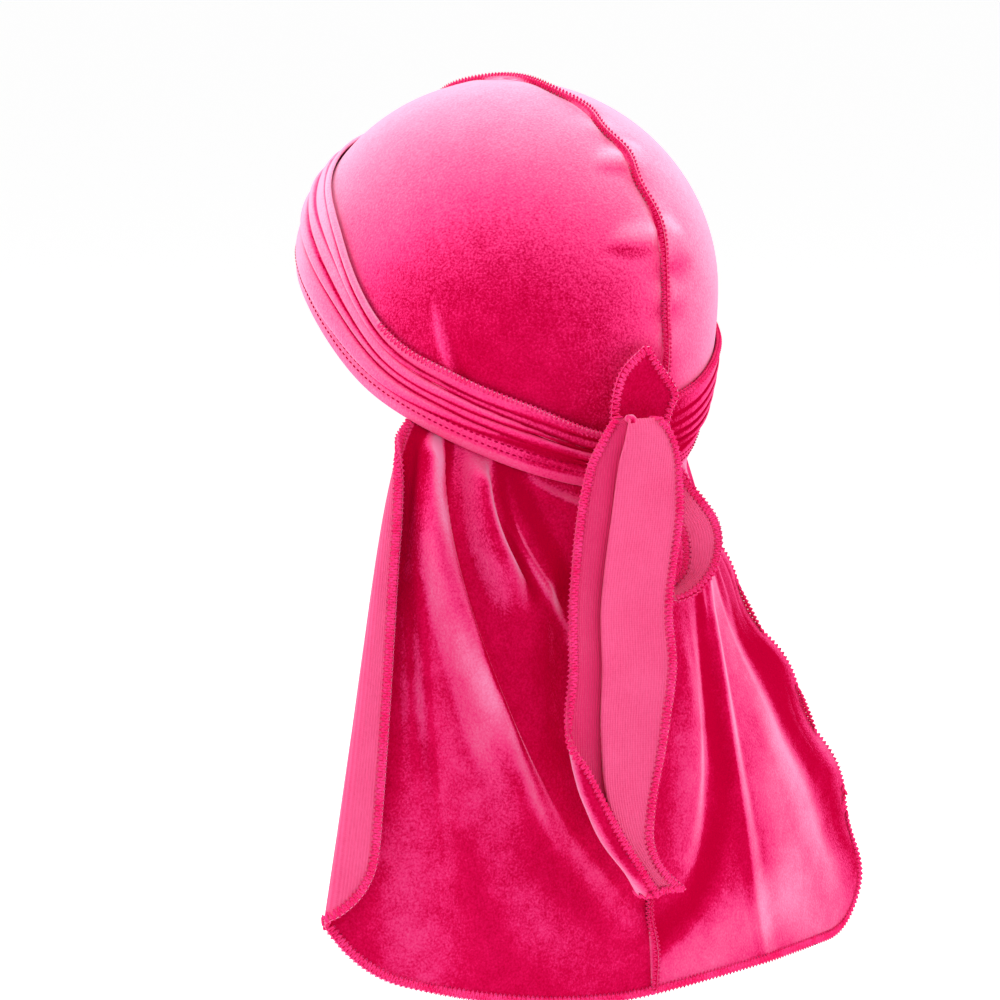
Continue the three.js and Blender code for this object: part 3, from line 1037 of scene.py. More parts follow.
# Strokes of painted sheen, above zero, and painted shade, below zero, partly the lie of the pile, with the
# share that they add in place of a height.
LEFT_STROKES = (
    Fold((0.82, 0.0), (0.7, 0.25), (0.5, 0.6), (3, 5), 0.24, 3.0, 0.0, 1.0),
    Fold((0.72, 0.28), (0.57, 0.5), (-0.05, 0.92), (4, 6), 0.42, 2.2, 0.0, 1.0),
    Fold((0.8, 0.02), (0.68, 0.33), (0.2, 0.78), (4, 5), -0.6),
    Fold((0.83, 0.0), (0.775, 0.25), (0.6, 0.9), (12, 18), 0.14, 0.15, 0.0, 0.5),
    Fold((0.66, 0.4), (0.56, 0.8), (0.0, 1.05), (20, 26), 0.18),
    Fold((0.76, 0.55), (0.72, 0.85), (0.62, 1.3), (34, 40), 0.18),
    Fold((0.64, 0.0), (0.6, 0.2), (0.4, 0.28), (2.5, 4), 0.2, 2.2, 0.0, 1.0),
    Fold((0.6, 0.0), (0.53, 0.18), (0.36, 0.27), (5, 6), -0.6),
    Fold((0.6, 0.07), (0.47, 0.19), (0.1, 0.37), (1.6, 2), 0.45, 1.5),
    Fold((0.56, 0.0), (0.43, 0.12), (0.14, 0.28), (9, 9), -0.6),
    Fold((0.37, 0.2), (0.4, 0.4), (0.2, 0.8), (14, 26), -0.25),
    Fold((0.79, 0.0), (0.77, 0.06), (0.75, 0.14), (6, 6), -0.5),
    Fold((0.87, 0.0), (0.83, 0.2), (0.77, 0.5), (7, 8), -0.4),
    Fold((0.9, 0.0), (0.87, 0.3), (0.78, 0.85), (9, 12), -0.4),
)
RIGHT_STROKES = (
    Fold((0.48, 0.2), (0.35, 0.5), (0.45, 1.6), (2, 3), 0.2, 4.0, 0.0, 1.0),
    Fold((0.42, 0.05), (0.34, 0.4), (0.36, 0.8), (9, 12), -0.5),
    Fold((0.37, 0.45), (0.36, 0.98), (-0.45, 0.92), (11, 12), -0.5),
    Fold((0.76, 0.0), (0.76, 0.3), (0.95, 0.75), (64, 36), -0.5),
    Fold((0.84, 0.3), (0.82, 0.62), (1.0, 0.98), (26, 18), -0.22),
    Fold((0.64, 0.42), (0.68, 0.66), (0.86, 1.1), (14, 20), 0.25),
    Fold((0.17, 0.36), (0.22, 0.62), (0.02, 0.84), (16, 18), 0.22),
    Fold((0.75, 0.86), (0.35, 0.9), (-0.35, 1.06), (22, 24), 0.3),
    Fold((0.58, 0.5), (0.62, 0.8), (0.7, 1.3), (36, 44), 0.22),
)


@dataclass
class Tail:
    """One half of the tail: straight lines from the crown's edge to the hem, with folds laid on.

    Attributes:
        side: which half.
        folds, strokes: its folds, and its strokes of painted sheen and painted shade, partly the lie of the
            pile.
        hem_half, hem_bow: half width of the hem and the power by which it bows forwards.
        hem_seam, hem_side_y, hem_side_z: depth and level of the hem at seam and side.
        corner_start, corner_rise: the rounded corner.
        flare: how late the cloth flares out.
        nape_to_fold, fold_to_edge: degrees round the head at the top.
        fold_u, roll, roll_by, turn_back: where the left edge turns back, its roll, how soon it rolls and
            how far round, in radians.
        puff, puff_at, puff_from: swelling of the left half below the wrap, where it is fullest, and the
            line from which it grows.
        strip_extra: how much wider the turned-back strip is than its share of the tail.
        swing, swing_from: how far the cloth stands out along its side edge from nape to hem, and the
            lines between which that grows.
        ripple, ripple_at, ripple_length, ripple_from: height of the ripples on that edge, where they
            start, how long they are and the lines between which they grow.
    """

    side: Side
    form: HeadForm
    folds: tuple[Fold, ...]
    strokes: tuple[Fold, ...]
    hem_half: float
    hem_side_z: float
    corner_rise: float
    flare: float
    puff: float
    swing: tuple[float, ...] = (0.0, 0.0)
    ripple: float = 0.0
    hem_seam: Pair = (93.0, -285.0)
    hem_side_y: float = 60.0
    hem_bow: float = 1.7
    corner_start: float = 0.7
    nape_to_fold: float = 73.0
    fold_to_edge: float = 3.0
    fold_u: float = 0.9
    roll: float = 2.2
    roll_by: float = 0.12
    turn_back: float = 3.0
    strip_extra: float = 4.0
    puff_at: float = 0.2
    puff_from: float = 0.5
    swing_from: Pair = (0.35, 0.85)
    ripple_at: float = 0.26
    ripple_length: float = 0.2
    ripple_from: Pair = (0.6, 1.0)

    def phi(self, u: Array) -> Array:
        """Degrees round the head where the tail's line u starts."""
        beyond = np.maximum(u - self.fold_u, 0.0) / (1 - self.fold_u)
        return 90 - self.nape_to_fold * np.minimum(u, self.fold_u) / self.fold_u - self.fold_to_edge * beyond

    def hem_share(self, u: Array) -> Array:
        """Share of each line that is above the rounded hem: a quarter circle at the corner.

        Args:
            u: places across the tail.

        Returns:
            Shares.
        """
        q = np.clip((u - self.corner_start) / (1 - self.corner_start), 0.0, 1.0)
        drop = self.hem_side_z - self.form.edge_level
        return 1 + self.corner_rise * (1 - np.sqrt(1 - q * q)) / drop

    def base(self, u: Array, w: Array) -> Array:
        """Tail without its folds: lines from the crown's edge to the hem, flaring as a power of w.

        Args:
            u, w: places across and down the tail.

        Returns:
            Points.
        """
        u, w = np.broadcast_arrays(np.asarray(u, float), np.asarray(w, float))
        phi = self.phi(u)
        top = self.form.point(phi, self.form.edge(phi), self.form.wall)
        y_seam, z_seam = self.hem_seam
        hem = np.stack(
            [
                self.hem_half * u,
                y_seam - (y_seam - self.hem_side_y) * np.abs(u) ** self.hem_bow,
                z_seam + (self.hem_side_z - z_seam) * u * u,
            ],
            axis=-1,
        )
        late = np.where(w < 0, w, np.abs(w) ** blend(1.0, self.flare, u))
        below = w / self.puff_at
        swell = self.puff * smooth(u, self.puff_from, self.fold_u) * below * np.exp(1 - below)
        share = np.stack([late, late, w], axis=-1)
        return blend(top, hem, share) + np.stack([swell, 0 * swell, 0 * swell], axis=-1)

    def axes(self, u: Array, w: Array) -> tuple[Array, Array]:
        """Directions on the tail, from small steps of the base.

        Args:
            u, w: places across and down the tail.

        Returns:
            Directions across the tail and out of it.
        """
        step = 0.004
        across = unit(self.base(u + step, w) - self.base(u - step, w))
        down = unit(self.base(u, w + step) - self.base(u, w - step))
        return across, unit(np.cross(across, down))

    def point(self, u: Array, w: Array) -> Array:
        """Tail with its folds raised out of the base and leant towards the seam, and its edge swung.

        Args:
            u, w: places across and down the tail.

        Returns:
            Points.
        """
        point = self.base(u, w)
        across, out = self.axes(u, w)
        tuck = smooth(w, 0.0, 0.05)
        for fold in self.folds:
            height = (fold.height(u, w) * tuck)[..., None]
            point = point + out * height - across * (fold.lean * np.abs(height))
        stand = through(np.array(self.swing)[:, None], np.clip(w, 0, 1).ravel())[:, 0].reshape(np.shape(w))
        wave = np.sin(2 * np.pi * (w - self.ripple_at) / self.ripple_length)
        ripple = self.ripple * wave * smooth(w, 0.1, 0.3)
        edge = stand * smooth(u, *self.swing_from) + ripple * smooth(u, *self.ripple_from)
        return point + out * (edge * tuck)[..., None]

    def pile(self, u: Array, w: Array) -> Array:
        """Painted sheen and shade, partly the lie of the pile: the sum of the strokes."""
        return sum(stroke.height(u, w) for stroke in self.strokes)

    def turned_back(self, u: Array, w: Array) -> Array:
        """Edge rolled over outwards: a half circle from the fold, then straight back over the cloth.

        Args:
            u, w: places across and down the tail.

        Returns:
            Points.
        """
        level = w * self.hem_share(u)
        at_fold = np.full_like(level, self.fold_u)
        across, out = self.axes(at_fold, level)
        wide = np.linalg.norm(self.base(at_fold / self.fold_u, level) - self.base(at_fold, level), axis=-1)
        q = (u - self.fold_u) / (1 - self.fold_u) * (wide + self.strip_extra * smooth(level, 0.0, 0.2))
        turn = self.turn_back * smooth(level, 0.0, self.roll_by)
        curl = np.minimum(q / self.roll, turn)
        rest = q - curl * self.roll
        aside = self.roll * np.sin(curl) + rest * np.cos(turn)
        lift = self.roll * (1 - np.cos(curl)) + rest * np.sin(turn)
        return self.point(at_fold, level) + across * aside[..., None] + out * lift[..., None]


@dataclass(frozen=True)
class Drag:
    """Short drawn ridge or hollow of the crown, from start to end as (degrees, arc).

    Attributes:
        half, rise: half width and height in the middle.
        half_ends, rise_ends: shares of them that are left at the ends.
        radius: of the crown, to unroll it.
    """

    start: Pair
    end: Pair
    half: float
    rise: float
    half_ends: float = 0.35
    rise_ends: float = 0.25
    radius: float = 85.0

    def height(self, phi: Array, s: Array) -> Array:
        """Height over the distance to a straight line on the unrolled crown, tapered to both ends.

        Args:
            phi, s: degrees round the head, and arcs above the widest level.

        Returns:
            Heights.
        """
        scale = np.array([math.radians(1.0) * self.radius, 1.0])
        first, last = np.array(self.start) * scale, np.array(self.end) * scale
        run = last - first
        x, y = phi * scale[0] - first[0], s - first[1]
        t = np.clip((x * run[0] + y * run[1]) / (run @ run), 0.0, 1.0)
        full = np.sin(np.pi * t)
        far = np.hypot(x - t * run[0], y - t * run[1]) / (self.half * blend(self.half_ends, 1.0, full))
        return self.rise * np.exp(-far * far) * blend(self.rise_ends, 1.0, full)


LEFT_DRAGS = (
    Drag((24.0, -1.0), (30.0, -36.0), 2.6, 1.2),
    Drag((27.0, -8.0), (33.0, -38.0), 2.6, -0.8),
    Drag((91.0, 30.0), (72.0, 26.0), 5.0, 1.3),
    Drag((91.0, 22.0), (70.0, 21.0), 4.0, -1.0),
    Drag((91.0, 65.0), (74.0, 61.0), 4.0, 0.9),
    Drag((91.0, 58.0), (74.0, 56.0), 3.5, -0.8),
)
RIGHT_DRAGS = (
    Drag((91.0, 34.0), (78.0, 27.0), 4.0, 1.0),
    Drag((91.0, 12.0), (76.0, 16.0), 5.0, -0.8),
    Drag((91.0, 72.0), (76.0, 66.0), 4.0, 0.8),
)


@dataclass
class Panel:
    """Half of the crown with its half of the tail below the back, in one cloth.

    Attributes:
        tail, drags: its half of the tail, and the drawn folds of the crown.
        pucker, pucker_reach, pucker_lengths: height of the puckers beside the seam, how far they go and
            the two lengths that make them uneven.
        drawn: painted light for each millimetre of the crown's relief: painted highlight on its ridges and
            painted shade in its hollows.
        uv_back, uv_front, uv_nape, uv_tail: metres of cloth across the back, to each radian round the
            front, at the nape and down the tail.
        row_power: how much closer the tail's rows are at the nape.
    """

    tail: Tail
    drags: tuple[Drag, ...]
    pucker: float = 0.55
    pucker_reach: float = 9.0
    pucker_lengths: Pair = (4.2, 11.0)
    drawn: float = 0.16
    uv_back: float = 0.17
    uv_front: float = 0.085
    uv_nape: float = -0.05
    uv_tail: float = 0.22
    row_power: float = 1.15
    crown_rows: int = 90
    tail_rows: int = 150
    back_columns: int = 112
    edge_columns: int = 26
    front_columns: int = 54

    def columns(self) -> tuple[Array, Array]:
        """Columns of the grid.

        Returns:
            Tail lines u of the back columns, and degrees round the head of all columns.
        """
        tail = self.tail
        back = np.linspace(0.0, tail.fold_u, self.back_columns)
        edge = np.linspace(tail.fold_u, 1.0, self.edge_columns + 1)[1:]
        u = np.concatenate([back, edge])
        phi = tail.phi(u)
        front = np.linspace(phi[-1], -90.0, self.front_columns + 1)[1:]
        return u, np.concatenate([phi, front])

    def crown_relief(self, phi: Array, s: Array) -> Array:
        """Small lift of the crown: puckers beside the seam, and the drawn folds.

        Args:
            phi, s: degrees round the head, and arcs above the widest level.

        Returns:
            Lifts.
        """
        form = self.tail.form
        side = np.abs(np.cos(np.radians(phi))) * form.half_width * np.cos(np.maximum(s, 0) / form.arc)
        beside = np.exp(-((side / self.pucker_reach) ** 2)) * smooth(side, 0.5, 4.0)
        short, long = self.pucker_lengths
        pucker = self.pucker * beside * np.sin(s / short + np.sin(s / long) * 1.7)
        return pucker + sum(drag.height(phi, s) for drag in self.drags)

    def cloth(self) -> tuple[Cloth, Array]:
        """Builds the cloth.

        Returns:
            The cloth, and the vertex numbers of the tail's grid with the crown's edge as its first row.
        """
        tail, form = self.tail, self.tail.form
        u, phi = self.columns()
        rows = np.arange(1, self.crown_rows + 1) / self.crown_rows
        s = blend(form.peak, form.edge(phi)[None, :], rows[:, None])
        relief = self.crown_relief(phi[None, :], s)
        crown = form.point(phi[None, :], s, form.wall + relief)
        down = (np.arange(1, self.tail_rows + 1) / self.tail_rows) ** self.row_power
        grid_u, w = np.meshgrid(u, down)
        level = w * tail.hem_share(grid_u)
        body = tail.point(grid_u, level)
        if tail.side is Side.LEFT:
            over = u > tail.fold_u
            body[:, over] = tail.turned_back(grid_u[:, over], w[:, over])
        apex = form.point(np.array([90.0]), np.array([form.peak]), form.wall)
        points = np.vstack([apex, crown.reshape(-1, 3), body.reshape(-1, 3)])
        points[:, 0] = np.maximum(points[:, 0], form.gap)
        points[:, 0] *= tail.side.value
        crown_index = 1 + numbered(*crown.shape[:2])
        tail_index = np.vstack([crown_index[-1:, : len(u)], 1 + crown_index.size + numbered(*w.shape)])
        quads = np.vstack([grid_faces(crown_index), grid_faces(tail_index)])
        top = crown_index[0]
        fan = np.stack([np.zeros(len(top) - 1, int), top[1:], top[:-1]], axis=1)
        if tail.side is Side.RIGHT:
            quads = quads[:, ::-1]
            fan = fan[:, ::-1]
        front = self.uv_back + np.radians(phi[len(u) - 1] - phi[len(u) :]) * self.uv_front
        wide = np.concatenate([self.uv_back * u, front])
        crown_uv = np.stack(np.broadcast_arrays(wide[None, :], s * MM), axis=-1)
        body_uv = np.stack([self.uv_back * grid_u, self.uv_nape - self.uv_tail * w], axis=-1)
        uv = np.vstack([[[0.0, form.peak * MM]], crown_uv.reshape(-1, 2), body_uv.reshape(-1, 2)])
        # Painted light: highlights on the crown's ridges and shade in its hollows, then the tail's strokes
        # of painted sheen and shade.
        nap_and_light = np.concatenate([[0.0], self.drawn * relief.ravel(), tail.pile(grid_u, level).ravel()])
        return Cloth(points, quads, fan, uv, form.wall, nap_and_light), tail_index

    def build(self, wardrobe: Wardrobe) -> Piece:
        """Makes the panel and the overlock along its side edge and hem.

        Args:
            wardrobe: the materials.

        Returns:
            The piece.
        """
        name = f"{self.tail.side.name.lower()}_panel"
        cloth, index = self.cloth()
        piece = enrol(cloth.piece(f"{name}_cloth", wardrobe.right_side_out()), name)
        path = np.concatenate([index[2:, -1], index[-1, -2::-1]])
        inner = np.concatenate([index[2:, -3], index[-3, -2::-1]])
        hem = sewing_piece(f"{name}_overlock", [cloth.overlock(path, inner, Overlock())], wardrobe.thread)
        return piece


@dataclass(frozen=True)
class Pleat:
    """One pleat of the wrap: where it ends at brow and knot, as shares of the width, and its height.

    Below it, gap is the share that is left open beside the knot.
    """

    brow: float
    knot: float
    height: float
    gap: float = 0.0


WRAP_PLEATS = (
    Pleat(0.17, 0.33, 0.2),
    Pleat(0.42, 0.48, 1.0, 0.06),
    Pleat(0.62, 0.58, 0.9),
    Pleat(0.78, 0.69, 0.8),
    Pleat(0.9, 0.81, 0.7),
    Pleat(1.0, 1.0, 0.4),
)
# Top edge of the wrap on the left and on the right: its arc every 20 degrees from the nape to the brow.
WRAP_TOP = (
    (-54.0, -41.0),
    (-51.0, -33.5),
    (-40.0, -22.0),
    (-28.5, -12.0),
    (-12.0, 4.0),
    (26.0, 30.0),
    (46.0, 47.0),
    (59.0, 59.0),
    (66.0, 66.0),
    (68.0, 68.0),
)


@dataclass
class HeadWrap:
    """Pleated straps wound round brow and sides, from the knot's left round the front to its right.

    Attributes:
        left_end, right_end: degrees round the head of its two ends.
        rise_brow, rise_knot, rise_right: height of the pleats at the brow, left of the knot and right of it.
        wander, swell: how far the creases stray, as shares of the width, and the mean of each pleat's
            height along the wrap with how far it goes up and down.
        crease, crease_shade: half width of a crease and how much painted shade lies in it.
        band: distances from the lower edge between which its turned-in band ends.
        light_brow, light_right, light_left, light_band: painted light at the brow and right of the knot, and
        how much more on the left and on the band; above zero it is painted sheen, below zero painted shade.
        clear: how far the wrap stands off the crown.
        sewn: degrees beyond which the overlock of the top edge shows.
        stitch_rows: how far the two stitch rows are from the lower edge.
    """

    form: HeadForm
    left_end: float = 72.0
    right_end: float = -267.0
    rise_brow: float = 3.2
    rise_knot: float = 4.6
    rise_right: float = 1.8
    wander: float = 0.032
    swell: Pair = (0.66, 0.38)
    crease: float = 0.7
    crease_shade: float = 0.5
    band: Pair = (3.0, 4.5)
    light_brow: float = 0.14
    light_right: float = -0.3
    light_left: float = 0.14
    light_band: float = 0.2
    clear: float = 0.3
    sewn: Pair = (8.0, -160.0)
    steps: int = 380
    across: int = 72
    stitch_rows: Pair = (5.5, 8.5)

    @staticmethod
    def turn(phi: Array) -> Array:
        """Degrees from the nape: below zero on the left."""
        return (np.asarray(phi, float) + 90.0) % 360.0 - 180.0

    def width(self, phi: Array) -> Array:
        """Width of the wrap: from the crown's edge to the top levels listed from nape to brow.

        Args:
            phi: degrees round the head.

        Returns:
            Widths.
        """
        turn = self.turn(phi)
        both = through(np.array(WRAP_TOP), np.abs(turn.ravel()) / 180.0).reshape(turn.shape + (2,))
        return np.where(turn > 0, both[..., 1], both[..., 0]) - self.form.edge(phi)

    def relief(self, phi: Array, v: Array) -> tuple[Array, Array]:
        """Pleats: a round arch between one crease and the next, wandering along the wrap.

        Args:
            phi, v: degrees round the head, and shares of the width.

        Returns:
            Height of the pleats, and painted light: painted sheen and shade over the wrap, with painted
                shade along the creases.
        """
        back = smooth(np.sin(np.radians(phi)), -0.6, 1.0)
        width = self.width(phi)
        height = np.zeros(np.broadcast(phi, v).shape)
        right = smooth(self.turn(phi), 0.0, 1.0) * smooth(back, 0.3, 0.9)
        left = smooth(-self.turn(phi), 0.0, 1.0) * smooth(back, 0.05, 0.4) * (1 - smooth(back, 0.9, 1.0))
        # Painted light on the wrap: painted sheen on the band, at the brow and more on the left, painted
        # shade right of the knot.
        band = self.light_band * (1 - smooth(v * width, *self.band)) * back
        pile = band + blend(self.light_brow, self.light_right, right) + self.light_left * left
        start = np.zeros_like(back)
        for number, pleat in enumerate(WRAP_PLEATS):
            wander = self.wander * np.sin(np.radians(phi) * (1.9 + 0.45 * number) + 2.3 * number)
            end = blend(pleat.brow, pleat.knot, back) + (wander if pleat.brow < 1 else 0.0)
            low = start + pleat.gap * smooth(back, 0.8, 1.0)
            x = np.clip((v - low) / (end - low), 0.0, 1.0)
            wave = np.sin(np.radians(phi) * (2.6 + 0.5 * number) + 1.7 * number)
            swell = pleat.height * (self.swell[0] + self.swell[1] * wave)
            height = height + swell * np.sqrt(np.maximum(1 - np.abs(2 * x - 1) ** 2.6, 0.0))
            # Painted shade along each crease between pleats.
            if number:
                near = (v - 0.5 * (low + start)) / (self.crease / width + 0.5 * (low - start))
                pile = pile - self.crease_shade * np.exp(-(near**2))
            start = end
        return height, pile

    def point(self, phi: Array, v: Array, extra: float = 0.0) -> Array:
        """Points of the wrap's outer face: over the crown, lifted by the pleats.

        Args:
            phi, v: degrees round the head, and shares of the width.
            extra: further lift.

        Returns:
            Points.
        """
        back = np.sin(np.radians(phi))
        left = blend(self.rise_brow, self.rise_knot, smooth(back, 0.0, 1.0))
        right = blend(self.rise_brow, self.rise_right, smooth(back, -0.6, 0.2))
        rise = np.where(self.turn(phi) > 0, right, left)
        lift = 2 * self.form.wall + self.form.gap + self.clear + rise * self.relief(phi, v)[0] + extra
        return self.form.point(phi, self.form.edge(phi) + self.width(phi) * v, lift)

    def build(self, wardrobe: Wardrobe) -> Piece:
        """Makes the wrap, its overlocked top edge and the two stitch rows of its lower band.

        Args:
            wardrobe: the materials.

        Returns:
            The piece.
        """
        phi = np.linspace(self.left_end, self.right_end, self.steps)[:, None]
        v = np.linspace(0.0, 1.0, self.across)[None, :]
        points = self.point(phi, v)
        arc = np.radians(phi) * 0.088 + 0 * v
        uv = np.stack([self.width(phi) * v * MM, arc], axis=-1)
        cloth = cloth_from_grid(points, uv, self.form.wall, self.relief(phi, v)[1])
        piece = enrol(cloth.piece("head_wrap_cloth", wardrobe.right_side_out()), "head_wrap")
        index = numbered(self.steps, self.across)
        stitch = Overlock(pitch=2.0, reach=2.0, radius=0.36)
        shown = (phi[:, 0] > self.sewn[0], phi[:, 0] < self.sewn[1])
        edging = [cloth.overlock(index[near, -1], index[near, -4], stitch) for near in shown]
        top = sewing_piece("head_wrap_overlock", edging, wardrobe.thread)
        rows = []
        for level in self.stitch_rows:
            share = level / self.width(phi[:, 0])
            line = self.point(phi[:, 0], share, 0.1)
            rows.append(StitchRow().thread(line, self.point(phi[:, 0], share, 1.1) - line))
        band = sewing_piece("head_wrap_stitching", rows, wardrobe.deep_thread)
        return piece


@dataclass
class RaisedSeam:
    """Seam allowance that stands up as a narrow ridge, overcast with thread.

    Attributes:
        height, thick, foot: of the ridge, and where its foot is above the cloth.
        sway, wave, lean: how far the ridge sways, over which lengths, and how far it leans.
        clear: how far the crown's ridge ends from the wrap.
        sides, crown_steps, tail_steps: corners round the ridge, and rings along each.
    """

    form: HeadForm
    height: float = 2.6
    thick: float = 2.0
    foot: float = -0.5
    sway: float = 1.4
    wave: Pair = (6.5, 23.0)
    lean: float = -0.2
    clear: float = 2.5
    sides: int = 12
    crown_steps: int = 260
    tail_steps: int = 200

    def ridge(self, name: str, foot: Array, out: Array, wardrobe: Wardrobe) -> Piece:
        """One ridge: a rounded profile carried along the foot line, swaying from side to side.

        Args:
            name: the solid that it stands for.
            foot: points of the seam line on the cloth.
            out: outward directions there.
            wardrobe: the materials.

        Returns:
            The ridge.
        """
        turn = np.linspace(0, 2 * np.pi, self.sides + 1)[:-1]
        aside = 0.5 * self.thick * np.sign(np.cos(turn)) * np.abs(np.cos(turn)) ** 0.7
        up = self.foot + self.height * (0.5 + 0.5 * np.sign(np.sin(turn)) * np.abs(np.sin(turn)) ** 0.7)
        length = along_line(foot)
        lean = self.sway * np.sin(length / self.wave[0] + 1.5 * np.sin(length / self.wave[1])) + self.lean
        share = (up - self.foot) / self.height
        shift = aside[None, :] + lean[:, None] * share[None, :]
        x_axis = np.array([1.0, 0.0, 0.0])
        points = foot[:, None] + shift[..., None] * x_axis + up[None, :, None] * out[:, None]
        flat = points.reshape(-1, 3)
        faces = ring_faces(len(foot), self.sides, turned=True)
        piece = mesh_object(f"{name}_ridge", flat, faces, flat[:, 1:] * MM, [wardrobe.strap])
        enrol(piece, name)
        top = foot + out * (self.foot + self.height) + (lean + 0.5 * self.thick)[:, None] * x_axis
        stitch = Overlock(pitch=1.9, reach=2.0, radius=0.34)
        thread = stitch.thread(top, -out, np.broadcast_to(x_axis, out.shape), self.thick)
        sewing_piece(f"{name}_overlock", [thread], wardrobe.thread)
        return piece

    def build_crown(self, wardrobe: Wardrobe) -> Piece:
        """Makes the ridge over the crown, from the wrap's edge at the brow to its edge at the nape.

        Args:
            wardrobe: the materials.

        Returns:
            The piece.
        """
        form = self.form
        back, front = (WRAP_TOP[row][0] + self.clear for row in (0, -1))
        walk = np.linspace(front - form.peak, form.peak - back, self.crown_steps)
        phi = np.where(walk < 0, -90.0, 90.0)
        s = form.peak - np.abs(walk)
        foot = form.point(phi, s, form.wall)
        out = unit(form.point(phi, s, form.wall + 1) - foot)
        foot[:, 0] = 0.0
        return self.ridge("crown_seam", foot, out, wardrobe)

    def build_tail(self, tail: Tail, wardrobe: Wardrobe) -> Piece:
        """Makes the ridge down the tail, from below the knot to the hem.

        Args:
            tail: the half of the tail that it follows.
            wardrobe: the materials.

        Returns:
            The piece.
        """
        w = np.linspace(0.04, 0.995, self.tail_steps)
        zero = np.zeros_like(w)
        foot = tail.base(zero, w)
        _, out = tail.axes(zero + 0.01, w)
        foot[:, 0] = 0.0
        out[:, 0] = 0.0
        return self.ridge("tail_seam", foot, unit(out), wardrobe)


@dataclass
class TieEnd:
    """Free end of the tie: a strip along a middle line, with cupped or turned-over edges.

    Rows hold x, y, z, half width, heading of the face round +Z, cupping and turned-over width.

    Attributes:
        roll, inset: radius of the turned-over edge, and how far in it starts.
        pleat, pleat_at, pleat_roll, pleat_from: a lengthwise pleat, how deep it is tucked, where it lies
            as a share of the half width, the radius of its two bends and where along the strip it deepens.
        shade, shade_reach: how much painted shade darkens the cloth under the pleat, and how far beside it.
        wave, wave_lengths: how far the edges swing, and over which lengths.
    """

    name: str
    rows: tuple[tuple[float, ...], ...]
    wall: float
    slot: Slot
    steps: int
    across: int
    flat: Pair
    roll: float = 1.6
    inset: float = 0.3
    pleat: float = 0.0
    pleat_at: float = -0.38
    pleat_roll: float = 0.85
    pleat_from: Pair = (0.1, 0.25)
    shade: float = 0.45
    shade_reach: float = 5.0
    wave: float = 0.0
    wave_lengths: Pair = (8.5, 31.0)

    def section(self, t: Array, half: Array, turned: Array) -> tuple[Array, Array, Array, Array]:
        """Cross-sections of the strip.

        From the right edge the cloth runs straight to the pleat, bends under in a half circle, runs back
        and bends again, and goes on one layer lower to the left edge, which rolls over where it is turned.

        Args:
            t: places along the strip, as a column.
            half: half widths there.
            turned: turned-over widths there.

        Returns:
            Length across the cloth, place across, lift, and painted shade: below zero under the pleat, more
            beside it.
        """
        bend, tuck = self.pleat_at * half, self.pleat * smooth(t, *self.pleat_from)
        roll = self.pleat_roll if self.pleat else 1e-6
        turn = np.pi * roll
        spare = 2 * (turn + tuck) + np.maximum(turned, 0.0)
        q = blend(-half - spare, half, np.linspace(0, 1, self.across)[None, :])
        past = np.maximum(bend - q, 0.0)
        first = np.clip(past, 0.0, turn) / roll
        second = np.clip(past - turn - tuck, 0.0, turn) / roll
        under = np.clip(past - turn, 0.0, tuck)
        left = np.maximum(past - 2 * turn - tuck, 0.0)
        aside = np.where(past > 0, bend - roll * np.sin(first) + under + roll * np.sin(second) - left, q)
        lift = -roll * (1 - np.cos(first)) - roll * (1 - np.cos(second))
        # Painted shade on the lower layer under the pleat, twice as deep right beside it.
        beside = 1 + np.exp(-((left / self.shade_reach) ** 2))
        lower = smooth(past - turn, 0.0, 1.0) * beside * (self.pleat > 0)
        over = np.maximum(0.0, -half + self.inset - aside)
        curl = np.minimum(over / self.roll, np.pi)
        edge = -half + self.inset - self.roll * np.sin(curl) + (over - curl * self.roll)
        lift = lift + np.where(over > 0, self.roll * (1 - np.cos(curl)), 0.0)
        return q, np.where(over > 0, edge, aside), lift, -self.shade * lower

    def build(self, wardrobe: Wardrobe) -> Piece:
        """Makes the strip from its cross-sections, and the overlock round its edges.

        Args:
            wardrobe: the materials.

        Returns:
            The piece.
        """
        t = np.linspace(0, 1, self.steps)
        x, y, z, half, face, cup, turned = (c[:, None] for c in through(np.array(self.rows), t).T)
        middle = np.concatenate([x, y, z], axis=1)[:, None]
        length = along_line(middle[:, 0])[:, None]
        angle = np.radians(face)
        wide = np.stack([-np.cos(angle), np.sin(angle), 0 * angle], axis=-1)
        out = np.stack([np.sin(angle), np.cos(angle), 0 * angle], axis=-1)
        q, aside, lift, shade = self.section(t[:, None], half, turned)
        short, long = self.wave_lengths
        wave = self.wave * np.sin(length / short + 2.0 * np.sin(length / long))
        lift = lift + cup * (aside / half) ** 2 + wave * (aside / half) ** 3
        points = middle + wide * aside[..., None] + out * lift[..., None]
        uv = np.stack(np.broadcast_arrays(q * MM, length * MM), axis=-1)
        downward = self.rows[-1][2] < self.rows[0][2]
        cloth = cloth_from_grid(points, uv, self.wall, shade, downward)
        materials = wardrobe.wrong_side_out() if self.slot is Slot.BACK else wardrobe.strap_out()
        piece = enrol(cloth.piece(f"{self.name}_cloth", materials), self.name)
        index = numbered(self.steps, self.across)
        path = np.concatenate([index[:, 0], index[-1, 1:-1], index[::-1, -1]])
        inner = np.concatenate([index[:, 2], index[-3, 1:-1], index[::-1, -3]])
        thread = cloth.overlock(path, inner, Overlock(reach=2.8))
        hem = sewing_piece(f"{self.name}_overlock", [thread], wardrobe.thread)
        return piece


